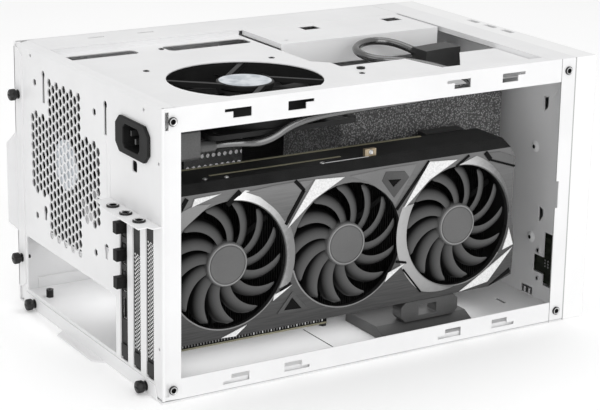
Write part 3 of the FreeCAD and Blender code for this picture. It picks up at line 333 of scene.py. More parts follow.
for name in dull.split():
    finishes[name].feed("Specular IOR Level", 0.12)        # stays black under the white sky
finishes["leadRubber"].feed("IOR", 2.4)        # a clear highlight along the lead
print("stage: finishes made,", len(finishes))


def gridQuads(rows, cols, wrapRows=False, wrapCols=False):
    # quads between neighbours of a grid that is stored row by row
    r = np.arange(rows if wrapRows else rows - 1)
    c = np.arange(cols if wrapCols else cols - 1)
    i, j = np.meshgrid(r, c, indexing="ij")
    nextRow = (i + 1) % rows
    nextCol = (j + 1) % cols
    corners = [i * cols + j, i * cols + nextCol, nextRow * cols + nextCol, nextRow * cols + j]
    return np.stack(corners, -1).reshape(-1, 4).tolist()


def spread(plane, flat, level):
    # points of a plane drawing set at a level along the third axis
    flat = np.asarray(flat, float)
    return np.insert(flat, "xyz".index(*set("xyz") - set(plane)), level, axis=1)


def insideOf(spots, flat, edges):
    # a spot is sheet when a ray from it crosses the loops an odd number of times
    a, b = flat[edges].transpose(1, 0, 2)
    y = spots[:, 1:2]
    spans = (a[:, 1] > y) != (b[:, 1] > y)
    rise = np.where(a[:, 1] == b[:, 1], 1.0, b[:, 1] - a[:, 1])
    crossing = a[:, 0] + (y - a[:, 1]) * (b[:, 0] - a[:, 0]) / rise
    return (spans & (spots[:, :1] < crossing)).sum(1) % 2 == 1


def squareTo(axis):
    # an axis of length one, and two directions square to it and to each other
    axis = np.asarray(axis, float) / np.linalg.norm(axis)
    helper = (1.0, 0.0, 0.0) if abs(axis[0]) < 0.8 else (0.0, 1.0, 0.0)
    side = np.cross(axis, helper)
    side = side / np.linalg.norm(side)
    return axis, side, np.cross(axis, side)


class Shell:
    # gathers surfaces in mm, then makes them one piece in metres
    def __init__(self):
        self.points = []
        self.faces = []
        self.slots = []
        self.count = 0

    def add(self, points, faces, slot=0):
        points = np.asarray(points, float).reshape(-1, 3)
        self.points.append(points)
        self.faces += [[k + self.count for k in face] for face in faces]
        self.slots += [slot] * len(faces)
        self.count += len(points)

    def pull(self, plane, outline, low, high, slot=0):
        # closed outline pulled straight from one level to another
        n = len(outline)
        points = np.concatenate([spread(plane, outline, low), spread(plane, outline, high)])
        caps = [list(range(n))[::-1], list(range(n, 2 * n))]
        self.add(points, gridQuads(2, n, wrapCols=True) + caps, slot)

    def spin(self, profile, count, slot=0, centre=(0.0, 0.0, 0.0), axis=(0.0, 0.0, 1.0), ripple=None):
        # surface of revolution: centre + along * axis + radius * (cos t * side + sin t * up)
        axis, side, up = squareTo(axis)
        along, radius = np.asarray(profile, float).T
        t = fullTurn * np.arange(count)[:, None] / count
        if ripple:
            radius = radius * ripple(t, along)
        spoke = np.cos(t) * side + np.sin(t) * up
        rings = np.broadcast_to(radius, (count, len(along)))[..., None] * spoke[:, None, :]
        points = np.asarray(centre, float) + along[None, :, None] * axis + rings
        self.add(points, gridQuads(count, len(along), wrapRows=True), slot)

    def tube(self, start, end, startRadius, endRadius, sides=16):
        reach = np.asarray(end, float) - np.asarray(start, float)
        length = np.linalg.norm(reach)
        self.spin([(0, 0), (0, startRadius), (length, endRadius), (length, 0)], sides, 0, start, reach)

    def punch(self, plane, outline, holes, low, high):
        # flat sheet with openings: a triangulated face at each level and a wall round every loop
        loops = [np.asarray(loop, float) for loop in [outline, *holes]]
        flat = np.concatenate(loops)
        starts = np.cumsum([0] + [len(loop) for loop in loops])
        rounds = [start + np.arange(len(loop)) for start, loop in zip(starts, loops)]
        edges = np.concatenate([np.stack([here, np.roll(here, -1)], -1) for here in rounds])
        cut = delaunay_2d_cdt([Vector(p) for p in flat], edges.tolist(), [], 1, 1e-6)
        sheet = np.array([tuple(p) for p in cut[0]])
        faces = np.array([list(face) for face in cut[2]])
        faces = faces[insideOf(sheet[faces].mean(1), flat, edges)].tolist()
        for level in (low, high):
            self.add(spread(plane, sheet, level), faces)
        walls = np.concatenate([edges, edges[:, ::-1] + len(flat)], -1)
        self.add(np.concatenate([spread(plane, flat, low), spread(plane, flat, high)]), walls.tolist())

    def place(self, centre, *ways):
        # carries what is drawn round z to a centre, with its x, y and z along three directions
        self.points = [centre + points @ np.array(ways, float) for points in self.points]

    def piece(self, name, finish, body="case", replaced=(), bevel=0.0, sharp=32.0):
        mesh = bpy.data.meshes.new(name)
        mesh.from_pydata((np.concatenate(self.points) * mm).tolist(), [], self.faces)
        mesh.polygons.foreach_set("material_index", self.slots)
        merged = bmesh.new()
        merged.from_mesh(mesh)
        bmesh.ops.remove_doubles(merged, verts=merged.verts, dist=2e-6)
        bmesh.ops.dissolve_degenerate(merged, edges=merged.edges, dist=1e-6)
        bmesh.ops.recalc_face_normals(merged, faces=merged.faces)
        merged.to_mesh(mesh)
        merged.free()
        return finishPiece(name, mesh, finish, body, replaced, bevel, sharp)


def newObject(name, data):
    made = bpy.data.objects.new(name, data)
    bpy.context.scene.collection.objects.link(made)
    return made


def finishPiece(name, mesh, finish, body, replaced, bevel, sharp):
    for key in [finish] if isinstance(finish, str) else finish:
        mesh.materials.append(finishes[key].material)
    mesh.shade_smooth()
    mesh.set_sharp_from_angle(angle=math.radians(sharp))
    made = newObject(name, mesh)
    if bevel:
        soft = made.modifiers.new("softEdge", "BEVEL")
        soft.width = bevel * mm
        soft.segments = 2
        soft.limit_method = "ANGLE"
        soft.angle_limit = math.radians(28.0)
        soft.use_clamp_overlap = True
        soft.harden_normals = True
    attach(made, body)
    if replaced:
        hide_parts(*replaced)
    return made


def softCopy(node, finish, bevel, chooser=None):
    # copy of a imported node: triangles merged back to flat faces, then its edges rounded
    mesh = nodes[node].data.copy()
    mesh.materials.clear()
    flat = bmesh.new()
    flat.from_mesh(mesh)
    bmesh.ops.remove_doubles(flat, verts=flat.verts, dist=2e-6)
    bmesh.ops.dissolve_limit(flat, angle_limit=math.radians(0.6), verts=flat.verts, edges=flat.edges)
    flat.normal_update()
    if chooser:
        for face in flat.faces:
            face.material_index = chooser(face.normal)
    flat.to_mesh(mesh)
    flat.free()
    first, *words = node.split("_")
    name = first + "".join(word.capitalize() for word in words)
    finishPiece(name, mesh, finish, nodes[node]["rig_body"], [node], bevel, 32.0)


def boxOf(node):
    low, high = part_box(node)
    return np.array(low) / mm, np.array(high) / mm


def faceMiddle(low, high, axis):
    # middle of the side of a box that an axis points out of
    return (low + high) / 2 + np.asarray(axis, float) * (high - low) / 2


def ngon(a, b, radius, sides, turn=0.0):
    t = np.radians(turn) + fullTurn * np.arange(sides) / sides
    return np.stack([a + radius * np.cos(t), b + radius * np.sin(t)], -1)


def fourRound(a, b, half):
    # corners of a square round a middle
    return [(a + i, b + j) for i in (-half, half) for j in (-half, half)]


def rect(a0, a1, b0, b1):
    return [(a0, b0), (a1, b0), (a1, b1), (a0, b1)]


def roundRect(a0, a1, b0, b1, radius, steps=5):
    # rectangle whose corners are quarter circles
    t = np.linspace(0.0, math.pi / 2, steps)
    corners = [(a1 - radius, b1 - radius), (a0 + radius, b1 - radius), (a0 + radius, b0 + radius),
               (a1 - radius, b0 + radius)]
    return np.concatenate([np.stack([a + radius * np.cos(t + k * math.pi / 2),
                                     b + radius * np.sin(t + k * math.pi / 2)], -1)
                           for k, (a, b) in enumerate(corners)])


def bar(middle, half, b0, b1, radius, steps=5):
    return roundRect(middle - half, middle + half, b0, b1, radius, steps)


def strip(start, end, width):
    # outline of a straight band between two points
    start, end = np.asarray(start, float), np.asarray(end, float)
    way = (end - start) / np.linalg.norm(end - start)
    off = 0.5 * width * np.array([-way[1], way[0]])
    return [start - off, end - off, end + off, start + off]


# Camera at the photograph's viewpoint: place, turn, roll, lens and shift for a 600 by 410 picture
view = {"azimuth": -31.168, "elevation": 15.414, "roll": 0.848, "focalPx": 1892.411,
        "middlePx": (289.246, 160.178), "place": (-742.155, -1206.210, 511.090), "picture": (600.0, 410.0),
        "sensor": 36.0}


def makeCamera(azimuth, elevation, roll, focalPx, middlePx, place, picture, sensor):
    # tipped up from straight down, swung round z, and rolled about its own line of sight
    swing, tip, lean = (math.radians(angle) for angle in (azimuth, 90.0 - elevation, roll))
    turn = Matrix.Rotation(swing, 4, "Z") @ Matrix.Rotation(tip, 4, "X") @ Matrix.Rotation(lean, 4, "Z")
    lens = bpy.data.cameras.new("camera")
    wide, tall = picture
    lens.sensor_width = sensor
    lens.lens = focalPx * sensor / wide
    lens.shift_x = (wide / 2 - middlePx[0]) / wide
    lens.shift_y = (middlePx[1] - tall / 2) / wide
    lens.clip_end = 50.0
    camera = newObject("camera", lens)
    camera.matrix_world = Matrix.Translation(Vector(place) * mm) @ turn
    bpy.context.scene.camera = camera


# Lamps in metres and watts: name, place, target, sides, power
# The last two stand for light that the white steel throws back inside the case
studio = {"skyStrength": 0.62, "floorSize": 14.0, "floorGlow": 0.14,
          "lamps": [("nearLamp", (-0.35, -2.3, 1.05), (0.0, 0.0, 0.1), (2.2, 2.2), 24.0),
                    ("topLamp", (0.1, 0.25, 2.4), (0.0, 0.0, 0.1), (2.4, 2.4), 17.8),
                    ("rearLamp", (-2.3, -0.3, 0.9), (0.0, 0.0, 0.1), (1.8, 1.8), 6.2),
                    ("innerLamp", (-0.135, 0.06, 0.070), (-0.12, 0.06, 0.0), (0.06, 0.06), 0.045),
                    ("underLamp", (-0.03, -0.086, 0.0262), (-0.03, -0.086, 0.0), (0.265, 0.04), 0.033)]}


def makeStudio(skyStrength, floorSize, floorGlow, lamps):
    white = (1.0, 1.0, 1.0, 1.0)
    world = bpy.data.worlds.new("studio")
    bpy.context.scene.world = world
    world.use_nodes = True
    sky = world.node_tree.nodes["Background"]
    sky.inputs["Color"].default_value = white
    sky.inputs["Strength"].default_value = skyStrength
    for name, place, target, size, power in lamps:
        lamp = bpy.data.lights.new(name, "AREA")
        lamp.shape = "RECTANGLE"
        lamp.size, lamp.size_y = size
        lamp.energy = power
        holder = newObject(name, lamp)
        holder.visible_camera = False
        holder.rotation_euler = (Vector(target) - Vector(place)).to_track_quat("-Z", "Y").to_euler()
        holder.location = place
    half = floorSize / 2
    ground = bpy.data.meshes.new("floor")
    ground.from_pydata([(x, y, 0) for x, y in rect(-half, half, -half, half)], [], [[0, 1, 2, 3]])
    paper = Finish("paper", 0.8)
    paper.feed("Emission Color", white)
    paper.feed("Emission Strength", floorGlow)
    paper.tones(paper.noise(3.0), (0.3, 0.93), (0.7, 0.95))
    ground.materials.append(paper.material)
    floor = newObject("floor", ground)
    floor.location = (0.0, 0.0, cadLow[2] - 0.0002)
    bpy.context.scene.view_settings.view_transform = "Standard"


makeCamera(**view)
makeStudio(**studio)
print("stage: camera and studio")

# The mains lead: its control points in mm are those of the route in the part's source
lead = {"radius": 3.0, "length": 0.4205,
        "points": [(-136.0, -104.0, 174.5), (-121.0, -104.0, 174.5), (-103.0, -118.2, 175.2),
                   (-78.0, -118.4, 189.0), (-25.86, -118.8, 191.8), (29.44, -118.2, 192.4),
                   (80.0, -112.0, 193.6), (90.0, -84.0, 196.0), (76.0, -58.0, 200.0), (60.0, -45.5, 202.5),
                   (39.0, -32.5, 203.5), (40.0, -7.99, 205.0), (54.0, 7.985, 206.0), (72.0, 15.005, 206.0),
                   (88.4, 5.51, 204.5), (91.76, -12.594, 201.312)]}
# Plug: moulded block with a tapered, ribbed boot that the lead comes out of
plugForm = {"bootRoot": 4.2, "bootTip": 3.4, "ribs": 3, "ribHigh": 0.22, "sunk": 7.5, "soft": 1.7,
            "wide": (-34.5, -15.5), "collar": (96.4, 119.6, -32.4, -17.6, 3.0), "collarLow": 166.8,
            "side": [(94.5, 183.8), (121.5, 183.8), (121.5, 205.8), (108.0, 205.8), (89.0, 204.8),
                     (89.0, 196.3), (94.5, 195.0)]}


def makePlug(bootRoot, bootTip, ribs, ribHigh, sunk, soft, wide, collar, collarLow, side):
    # side view of block and nose pulled across the plug, collar down into the socket, and a boot
    # that narrows towards the lead, with ribs as steps in its radius
    before, bootEnd = np.array(lead["points"][-2:])
    way = (bootEnd - before) / np.linalg.norm(bootEnd - before)
    shell = Shell()
    shell.pull("xz", side, *wide)
    shell.pull("xy", roundRect(*collar), collarLow, side[0][1] + 0.5)
    steps = np.linspace(0.0, 1.0, 8 * ribs + 1)
    taper = bootRoot + (bootTip - bootRoot) * steps
    wave = ribHigh * np.sign(np.sin(fullTurn * ribs * steps - 0.3))
    radius = np.maximum(taper + wave * (steps > 0.1), bootTip - 0.1)
    shell.spin([(0.0, 0.0), *zip(sunk * steps, radius), (sunk, 0.0)], 24, 0, bootEnd + way * sunk, -way)
    return shell.piece("leadPlug", "blackPlastic", replaced=["lead_plug"], bevel=soft)


def makeLead(plug, radius, length, points):
    curve = bpy.data.curves.new("powerLead", "CURVE")
    curve.dimensions = "3D"
    curve.bevel_depth = radius * mm
    curve.bevel_resolution = 6
    curve.resolution_u = 16
    spline = curve.splines.new("NURBS")
    spline.points.add(len(points) - 1)
    for spot, (x, y, z) in zip(spline.points, points):
        spot.co = (x * mm, y * mm, z * mm, 1.0)
    spline.order_u = 3
    spline.use_endpoint_u = True
    curve.use_fill_caps = True
    curve.materials.append(finishes["leadRubber"].material)
    cable = newObject("powerLead", curve)
    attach(cable, "case")
    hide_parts("power_lead")


makeLead(makePlug(**plugForm), **lead)
print("stage: lead and plug")

# Painted sheet and plain mouldings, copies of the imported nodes: finish and rounded edge in mm, then the nodes
softEdges = {
    ("whiteCoat", 0.25): "top_plate",
    ("whiteCoat", 0.3): "slot_shelf floor_pan psu_bracket",
    ("whiteCoat", 0.35): "near_top_rail near_bottom_rail far_top_rail far_bottom_rail front_plate "
                         "bottom_panel",
    ("whitePlastic", 0.8): "front_bezel", ("whitePlastic", 0.4): "power_button",
    ("psuPaint", 0.5): "psu_case",
    ("blackPlastic", 0.4): "psu_socket", ("blackPlastic", 0.5): "psu_switch card_power_socket",
    ("shroudTop", 0.7): "power_inlet", ("shroudTop", 0.5): "port_caps", ("shroudTop", 0.3): "button_switch",
    ("portSteel", 0.3): "inlet_pins", ("portSteel", 0.15): "card_ports", ("platedSteel", 0.1): "front_ports",
    ("mouldingPlastic", 0.8): "inlet_moulding", ("fanPlastic", 0.3): "card_fan_mounts",
    ("circuitBoard", 0.15): "card_board front_io_board", ("backPlate", 0.4): "card_backplate",
    ("supportPlastic", 0.8): "card_support_base", ("supportPlastic", 0.7): "card_support_clip",
    ("screwBlack", 0.2): "board_standoffs", ("filterMesh", 0.05): "dust_filter",
    ("silverTrim", 0.35): "card_trim"}
for (finish, width), group in softEdges.items():
    for node in group.split():
        softCopy(node, finish, width)


def shroudSide(normal):
    # front face, then the black top and brow, then the rest
    if normal.y < -0.9:
        return 0
    return 1 if normal.z > 0.2 else 2


def cageSide(normal):
    # faces that look towards the open side take the paler copy, painted light
    return 1 if normal.y < -0.9 else 0


softCopy("card_shroud", ["shroudFront", "shroudTop", "shroudPlastic"], 0.6, shroudSide)
softCopy("drive_cage", ["whiteCoat", "cageCoat"], 0.35, cageSide)
print("stage: soft copies")

# Rear panel in mm: sheet punched with a cross of small hexagons, edges folded round a bend radius
rearPanel = {"sheet": 1.0, "bend": 1.6, "bendSteps": 7, "sideFlange": 14.0, "endFlange": 10.0,
             "hexPitch": 7.4, "hexAcross": 6.25, "crossMiddle": (34.7, 130.5), "column": (31.5, 65.5),
             "band": (65.0, 36.0), "fanPitch": 105.0, "fanMiddle": (34.7, 132.3), "fanHole": 3.0,
             "keyholes": [(71.0, 197.0, 172.0, 2.9, 1.9), (-36.0, 197.0, 172.0, 2.9, 1.9),
                          (71.0, 91.5, 80.0, 3.4, 1.9), (-36.0, 91.5, 80.0, 3.4, 1.9)],
             "pinholes": [(94.5, 204.0, 1.5), (-96.0, 203.6, 1.4), (-118.0, 170.8, 1.3), (-118.0, 38.6, 1.3)],
             "cableHole": (-85.8, -77.8, 156.5, 164.5, 2.0), "inletHole": (-102.3, -60.3, 169.0, 191.0, 3.0),
             "ports": (-50.0, 108.75, 12.8, 57.25, 0.8), "slotPlaces": (-63.2, -83.52, -103.84),
             "slotHalf": 5.9, "slotEnds": (12.0, 127.2),
             "ridges": [(-37.5, 122.0, 168.0), (-43.0, 122.0, 158.0)]}


def keyhole(y, top, low, headRadius, neckHalf):
    # round head on a straight-sided tail
    t = np.linspace(-0.25 * math.pi, 1.25 * math.pi, 12)
    head = np.stack([y + headRadius * np.cos(t), top - headRadius + headRadius * np.sin(t)], -1)
    neck = top - 2.4 * headRadius
    tail = [(y - neckHalf, neck), (y - neckHalf, low), (y + neckHalf, low), (y + neckHalf, neck)]
    return np.concatenate([head, tail])


def hexagonCross(form):
    # hexagons of a lattice kept where the whole hexagon is inside the column or the band
    pitch = form["hexPitch"]
    col, row = np.meshgrid(np.arange(-14, 15), np.arange(-12, 13), indexing="ij")
    dy = col * pitch * math.sqrt(3.0) / 2
    dz = (row + 0.5 * (col % 2)) * pitch
    reach = form["hexAcross"] / 2
    inside = [(abs(dy) + reach <= wide) & (abs(dz) + reach <= tall)
              for wide, tall in (form["column"], form["band"])]
    keep = inside[0] | inside[1]
    y, z = form["crossMiddle"]
    return [ngon(a, b, form["hexAcross"] / math.sqrt(3.0), 6) for a, b in zip(y + dy[keep], z + dz[keep])]


def bentEdge(shell, plane, fold, away, along, reach, form):
    # section of a folded edge: outer quarter round, end of the flange, inner quarter round
    bend = form["bend"]
    t = np.linspace(0.0, math.pi / 2, form["bendSteps"])
    thin = bend - form["sheet"]
    outer = np.stack([bend * (1 - np.sin(t)), bend * (1 - np.cos(t))], -1)
    inner = np.stack([bend - thin * np.sin(t), bend - thin * np.cos(t)], -1)
    section = np.concatenate([outer, [(reach, 0.0), (reach, form["sheet"])], inner])
    shell.pull(plane, np.array(fold) + section * (1.0, away), *along)


def makeRearPanel():
    form = rearPanel
    low, high = boxOf("rear_panel")
    x0 = low[0]
    bend = form["bend"]
    across = (low[1] + bend, high[1] - bend)
    holes = hexagonCross(form)
    fanHoles = fourRound(*form["fanMiddle"], form["fanPitch"] / 2)
    holes += [ngon(y, z, form["fanHole"], 6, 20.0) for y, z in fanHoles]
    holes += [keyhole(*k) for k in form["keyholes"]]
    holes += [ngon(y, z, r, 10) for y, z, r in form["pinholes"]]
    holes += [roundRect(*form[key]) for key in ("cableHole", "inletHole", "ports")]
    holes += [bar(y, form["slotHalf"], *form["slotEnds"], 0.6) for y in form["slotPlaces"]]
    shell = Shell()
    shell.punch("yz", rect(*across, low[2] + bend, high[2] - bend), holes, x0, x0 + form["sheet"])
    for y, z0, z1 in form["ridges"]:
        shell.pull("yz", bar(y, 0.5, z0, z1, 0.4, 3), x0 - 0.3, x0 + 0.2)
    for corner, away in ((low, 1.0), (high, -1.0)):
        bentEdge(shell, "xy", (x0, corner[1]), away, (low[2], high[2]), form["sideFlange"], form)
        bentEdge(shell, "xz", (x0, corner[2]), away, across, form["endFlange"], form)
    shell.piece("rearPanel", "whiteCoat", replaced=["rear_panel"])
    print("rear panel holes", len(holes))


makeRearPanel()

# Card bracket in mm: thin dark sheet with staggered diamond vents, and a pale baffle close behind them, painted
# light for the lit walls of the vents
bracket = {"slots": (-63.2, -83.52, -103.84), "deep": 1.0, "thick": 0.12, "pitchAcross": 4.0, "pitchUp": 2.9,
           "diamond": (1.35, 0.97), "vents": [(-83.52, 27.0, 97.0), (-103.84, 27.0, 112.0)],
           "ports": (51.0, 71.3, 91.6, 111.9), "portSide": (-2.1, 4.1), "portHalf": 8.1, "tabHalf": 5.6,
           "tailHalf": 4.0, "tailHigh": 6.2, "foot": (14.0, 24.0), "footHalf": 4.6,
           "baffle": (-184.86, -184.4), "baffleHalf": 5.4}


def ventDiamonds(y, low, high):
    # quincunx of diamonds: each row is half a pitch up and half a pitch across from the last
    a, b = bracket["diamond"]
    rhomb = np.array([(a, 0.0), (0.0, b), (-a, 0.0), (0.0, -b)])
    rows = np.arange(low, high, bracket["pitchUp"] / 2)
    return [rhomb + (y + (c + 0.5 * (k % 2)) * bracket["pitchAcross"], z)
            for k, z in enumerate(rows) for c in (-1, 0, 1) if k % 2 == 0 or c < 1]


def makeBracket():
    form = bracket
    low, high = boxOf("card_bracket")
    x0 = high[0] - form["deep"]
    back = x0 + form["thick"]
    foot = low[2] + form["tailHigh"]
    reach = form["baffleHalf"]
    diamonds = [rhomb for vent in form["vents"] for rhomb in ventDiamonds(*vent)]
    y = form["slots"][0]
    sides = [y + side for side in form["portSide"]]
    ports = [roundRect(*sides, z - form["portHalf"], z + form["portHalf"], 1.0) for z in form["ports"]]
    shell = Shell()
    shell.punch("yz", rect(low[1], high[1], foot - 0.2, high[2]), diamonds + ports, x0, back)
    # collar that closes the room between the thin cover and the ports behind it
    shell.punch("yz", rect(y - reach, y + reach, foot, high[2] - 2.0), ports, back + 0.02, high[0])
    for y, z0, z1 in form["vents"]:
        # pale baffle behind each field of vents: painted light seen through the diamonds
        shell.pull("yz", bar(y, reach, z0 - 1.5, z1 + 1.0, 0.5, 3), *form["baffle"], 1)
    for y in form["slots"]:
        # tail, fixing tab, and the stepped foot that stands out of the slot
        shell.pull("yz", bar(y, form["tailHalf"], low[2], foot, 0.4, 3), x0, high[0])
        tab = form["tabHalf"]
        shell.pull("xy", roundRect(low[0], x0 + 0.5, y - tab, y + tab, 1.2), high[2] - 1.0, high[2])
        shell.pull("yz", bar(y, form["footHalf"], *form["foot"], 0.6), x0 - 0.9, x0 + 0.2)
    shell.piece("cardBracket", ["bracketSteel", "punchedEdge"], replaced=["card_bracket"])
    print("bracket vents", len(diamonds))


makeBracket()

# Far side panel in mm: perforated sheet with a folded rear edge and a finger pull
farPanel = {"sheet": 1.0, "front": 165.0, "foldFace": -186.0, "ventX": (-84.0, 57.0), "ventZ": (60.0, 152.0),
            "pitch": (5.4, 9.2), "holeRadius": 1.9, "start": (-1.0, 97.0),
            "fold": [(110.5, 17.5), (118.5, 12.5), (123.5, 12.5), (123.5, 206.0), (118.5, 206.0),
                     (110.5, 201.0)],
            "pull": [(-187.0, 58.0), (-195.0, 66.0), (-195.0, 130.0), (-187.0, 138.0)]}


def makeFarPanel(sheet, front, foldFace, ventX, ventZ, pitch, holeRadius, start, fold, pull):
    # holes in rows, each row half a pitch along from the next
    low, high = boxOf("far_side_panel")
    x0 = foldFace - sheet
    col, row = np.meshgrid(np.arange(-40, 41), np.arange(-10, 11), indexing="ij")
    x = start[0] + (col + 0.5 * (row % 2)) * pitch[0]
    z = start[1] + row * pitch[1]
    keep = (x > ventX[0]) & (x < ventX[1]) & (z > ventZ[0]) & (z < ventZ[1])
    holes = [ngon(a, b, holeRadius, 8) for a, b in zip(x[keep], z[keep])]
    shell = Shell()
    shell.punch("xz", rect(x0, front, low[2], high[2]), holes, high[1] - sheet, high[1])
    shell.pull("yz", fold, x0, foldFace)
    shell.pull("xz", pull, high[1] - sheet, high[1])
    shell.piece("farSidePanel", "whiteCoat", replaced=["far_side_panel"])
    print("far panel holes", len(holes))


makeFarPanel(**farPanel)
print("stage: rear panel, bracket and far panel")


def blades(shell, start, count, rootRadius, tipRadius, rootChord, tipChord, rootPitch, tipPitch, thick,
           camber, level, sweep, sweepPower, tipStart, steps, around):
    # vanes round z: a thin lens section carried from root to tip; its middle line sweeps round the hub,
    # its chord is pitched to the disc, and the tip narrows like an ellipse
    s = np.linspace(0.0, 1.0, steps)[:, None]
    u = (fullTurn * np.arange(around) / around)[None, :]
    r = rootRadius + (tipRadius - rootRadius) * s
    tail = np.clip((s - tipStart) / (1.0 - tipStart), 0.0, 1.0)
    taper = np.sqrt(np.clip(1.0 - tail ** 2, 0.0, 1.0))
    half = 0.5 * (rootChord + (tipChord - rootChord) * s) * np.maximum(taper, 0.02)
    pitch = np.radians(rootPitch + (tipPitch - rootPitch) * s)
    c = np.cos(u)
    lift = 0.5 * thick * np.sin(u) * np.maximum(taper, 0.05) + camber * (1.0 - c ** 2) * taper
    width = c * half * np.cos(pitch) - lift * np.sin(pitch)
    rise = level + c * half * np.sin(pitch) + lift * np.cos(pitch)
    bend = np.radians(sweep) * s ** sweepPower
    last = (steps - 1) * around
    ends = [list(range(around))[::-1], list(range(last, last + around))]
    for k in range(count):
        angle = np.radians(start) + fullTurn * k / count + bend + width / r
        points = np.stack([r * np.cos(angle), r * np.sin(angle), rise], -1)
        shell.add(points, gridQuads(steps, around, wrapCols=True) + ends)


# Card fans in mm, seen from the open side: vanes lean the same way on all three; the face and the rim
# of the hub are depths behind its front with distances inside its radius
cardBlade = {"count": 13, "rootRadius": 15.6, "tipRadius": 45.8, "rootChord": 10.0, "tipChord": 15.0,
             "rootPitch": 34.0, "tipPitch": 25.0, "thick": 1.5, "camber": 1.2, "level": 5.4, "sweep": 34.0,
             "sweepPower": 1.3, "tipStart": 0.88, "steps": 18, "around": 14}
cardFan = {"hub": 16.3, "hubDepth": 11.0, "starts": (18.0, 34.0, 27.0),
           "face": [(1.5, 0.0), (0.75, 0.35), (0.3, 1.1), (0.3, 1.9), (0.75, 2.1), (0.75, 2.6),
                    (0.35, 2.9)],
           "rim": [(0.3, 1.95), (0.3, 1.0), (0.15, 1.15), (0.15, 1.8), (0.3, 1.95)]}


def makeCardFan(index, start):
    node = "card_fan_%d" % index
    low, high = boxOf(node)
    hub = cardFan["hub"]
    front = min(high[1] - low[1], cardFan["hubDepth"])
    face, rim = ([(front - deep, hub - short) for deep, short in cardFan[key]] for key in ("face", "rim"))
    shell = Shell()
    shell.spin([(0.3, 2.2), (0.3, hub - 0.4), (0.8, hub), *face, (front - 0.3, 0.0)], 72, 1)
    shell.spin(rim, 72, 2)
    blades(shell, start, **cardBlade)
    shell.place(faceMiddle(low, high, (0, 1, 0)), (1, 0, 0), (0, 0, 1), (0, -1, 0))
    shell.piece("cardFan%d" % index, ["bladePlastic", "hubPlastic", "facetPlastic"], body=node,
                replaced=[node], sharp=50.0)


for index, start in enumerate(cardFan["starts"], 1):
    makeCardFan(index, start)

# Case fans in mm: square frame of two flanges and a duct, slanted struts, nine vanes
caseFan = {"size": 120.0, "depth": 25.0, "bore": 57.5, "corner": 7.0, "flange": 3.6, "duct": 1.8,
           "pitch": 105.0, "hub": 20.0, "cap": 21.0, "label": 19.2, "strutRoot": 18.5, "strutStart": 105.0,
           "strutSweep": -42.0, "strutWidth": 3.6, "strutDeep": 3.2, "screwHole": 2.2}
caseBlade = {"count": 9, "rootRadius": 19.2, "tipRadius": 55.9, "rootChord": 18.0, "tipChord": 26.0,
             "rootPitch": 44.0, "tipPitch": 27.0, "thick": 1.6, "camber": 1.6, "level": -13.0, "sweep": 26.0,
             "sweepPower": 1.2, "tipStart": 0.93, "steps": 12, "around": 14}


def makeCaseFan(prefix, ways, size, depth, bore, corner, flange, duct, pitch, hub, cap, label, strutRoot,
                strutStart, strutSweep, strutWidth, strutDeep, screwHole):
    # drawn round z, which is 0 at the strut face and runs out of it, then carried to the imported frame
    body = prefix + "_fan"
    centre = faceMiddle(*boxOf(body + "_frame"), ways[2])
    half = size / 2
    holes = [ngon(0, 0, bore, 96)] + [ngon(a, b, screwHole, 12) for a, b in fourRound(0, 0, pitch / 2)]
    shell = Shell()
    for h in (0.0, flange - depth):
        shell.punch("xy", roundRect(-half, half, -half, half, corner, 7), holes, h, h - flange)
    top, low = 0.4 - flange, flange - depth - 0.4
    shell.spin([(top, bore), (top, bore + duct), (low, bore + duct), (low, bore), (top, bore)], 96)
    for k in range(4):
        a = math.radians(strutStart - 90.0 * k)
        b = a + math.radians(strutSweep)
        root = strutRoot * np.array([math.cos(a), math.sin(a)])
        tip = (bore + 1.2) * np.array([math.cos(b), math.sin(b)])
        shell.pull("xy", strip(root, tip, strutWidth), -0.4 - strutDeep, -0.4)
    shell.spin([(-4.0, 0.0), (-4.0, cap), (-1.0, cap), (-0.4, cap - 0.7), (-0.4, 0.0)], 64)
    shell.spin([(-0.5, 0.0), (-0.5, label), (-0.25, label), (-0.25, 0.0)], 64, 1)
    shell.place(centre, *ways)
    shell.piece(prefix + "FanFrame", ["fanPlastic", "hubLabel"], replaced=[body + "_frame"], sharp=40.0)
    rotor = Shell()
    rotor.spin([(-4.9, 2.4), (-4.9, hub - 0.6), (-5.5, hub), (-21.5, hub), (-22.4, hub - 0.9),
                (-22.4, 0.0)], 64)
    blades(rotor, 12.0, **caseBlade)
    rotor.place(centre, *ways)
    rotor.piece(prefix + "FanRotor", "fanPlastic", body=body, replaced=[body + "_rotor"], sharp=50.0)


makeCaseFan("rear", [(0, -1, 0), (0, 0, 1), (-1, 0, 0)], **caseFan)
makeCaseFan("top", [(1, 0, 0), (0, 1, 0), (0, 0, 1)], **caseFan)
print("stage: fans")

# Cooler in mm: fine fins two millimetres apart, painted near black as shade, with paler lower tips for the lit
# aluminium, joined by a base and four heat pipes
cooler = {"finPitch": 2.0, "finThick": 0.45, "ends": (-166.0, 112.0), "front": -89.0, "back": -68.5,
          "low": 27.0, "high": 136.0, "tip": 3.0, "base": (40.0, 130.0), "baseDeep": (-68.6, -64.6),
          "block": (-30.0, 10.0, 64.0, 104.0), "blockDeep": (-64.7, -58.6),
          "pipes": (52.0, 72.0, 103.0, 122.0), "pipeRadius": 3.0, "pipeDepth": -76.0}


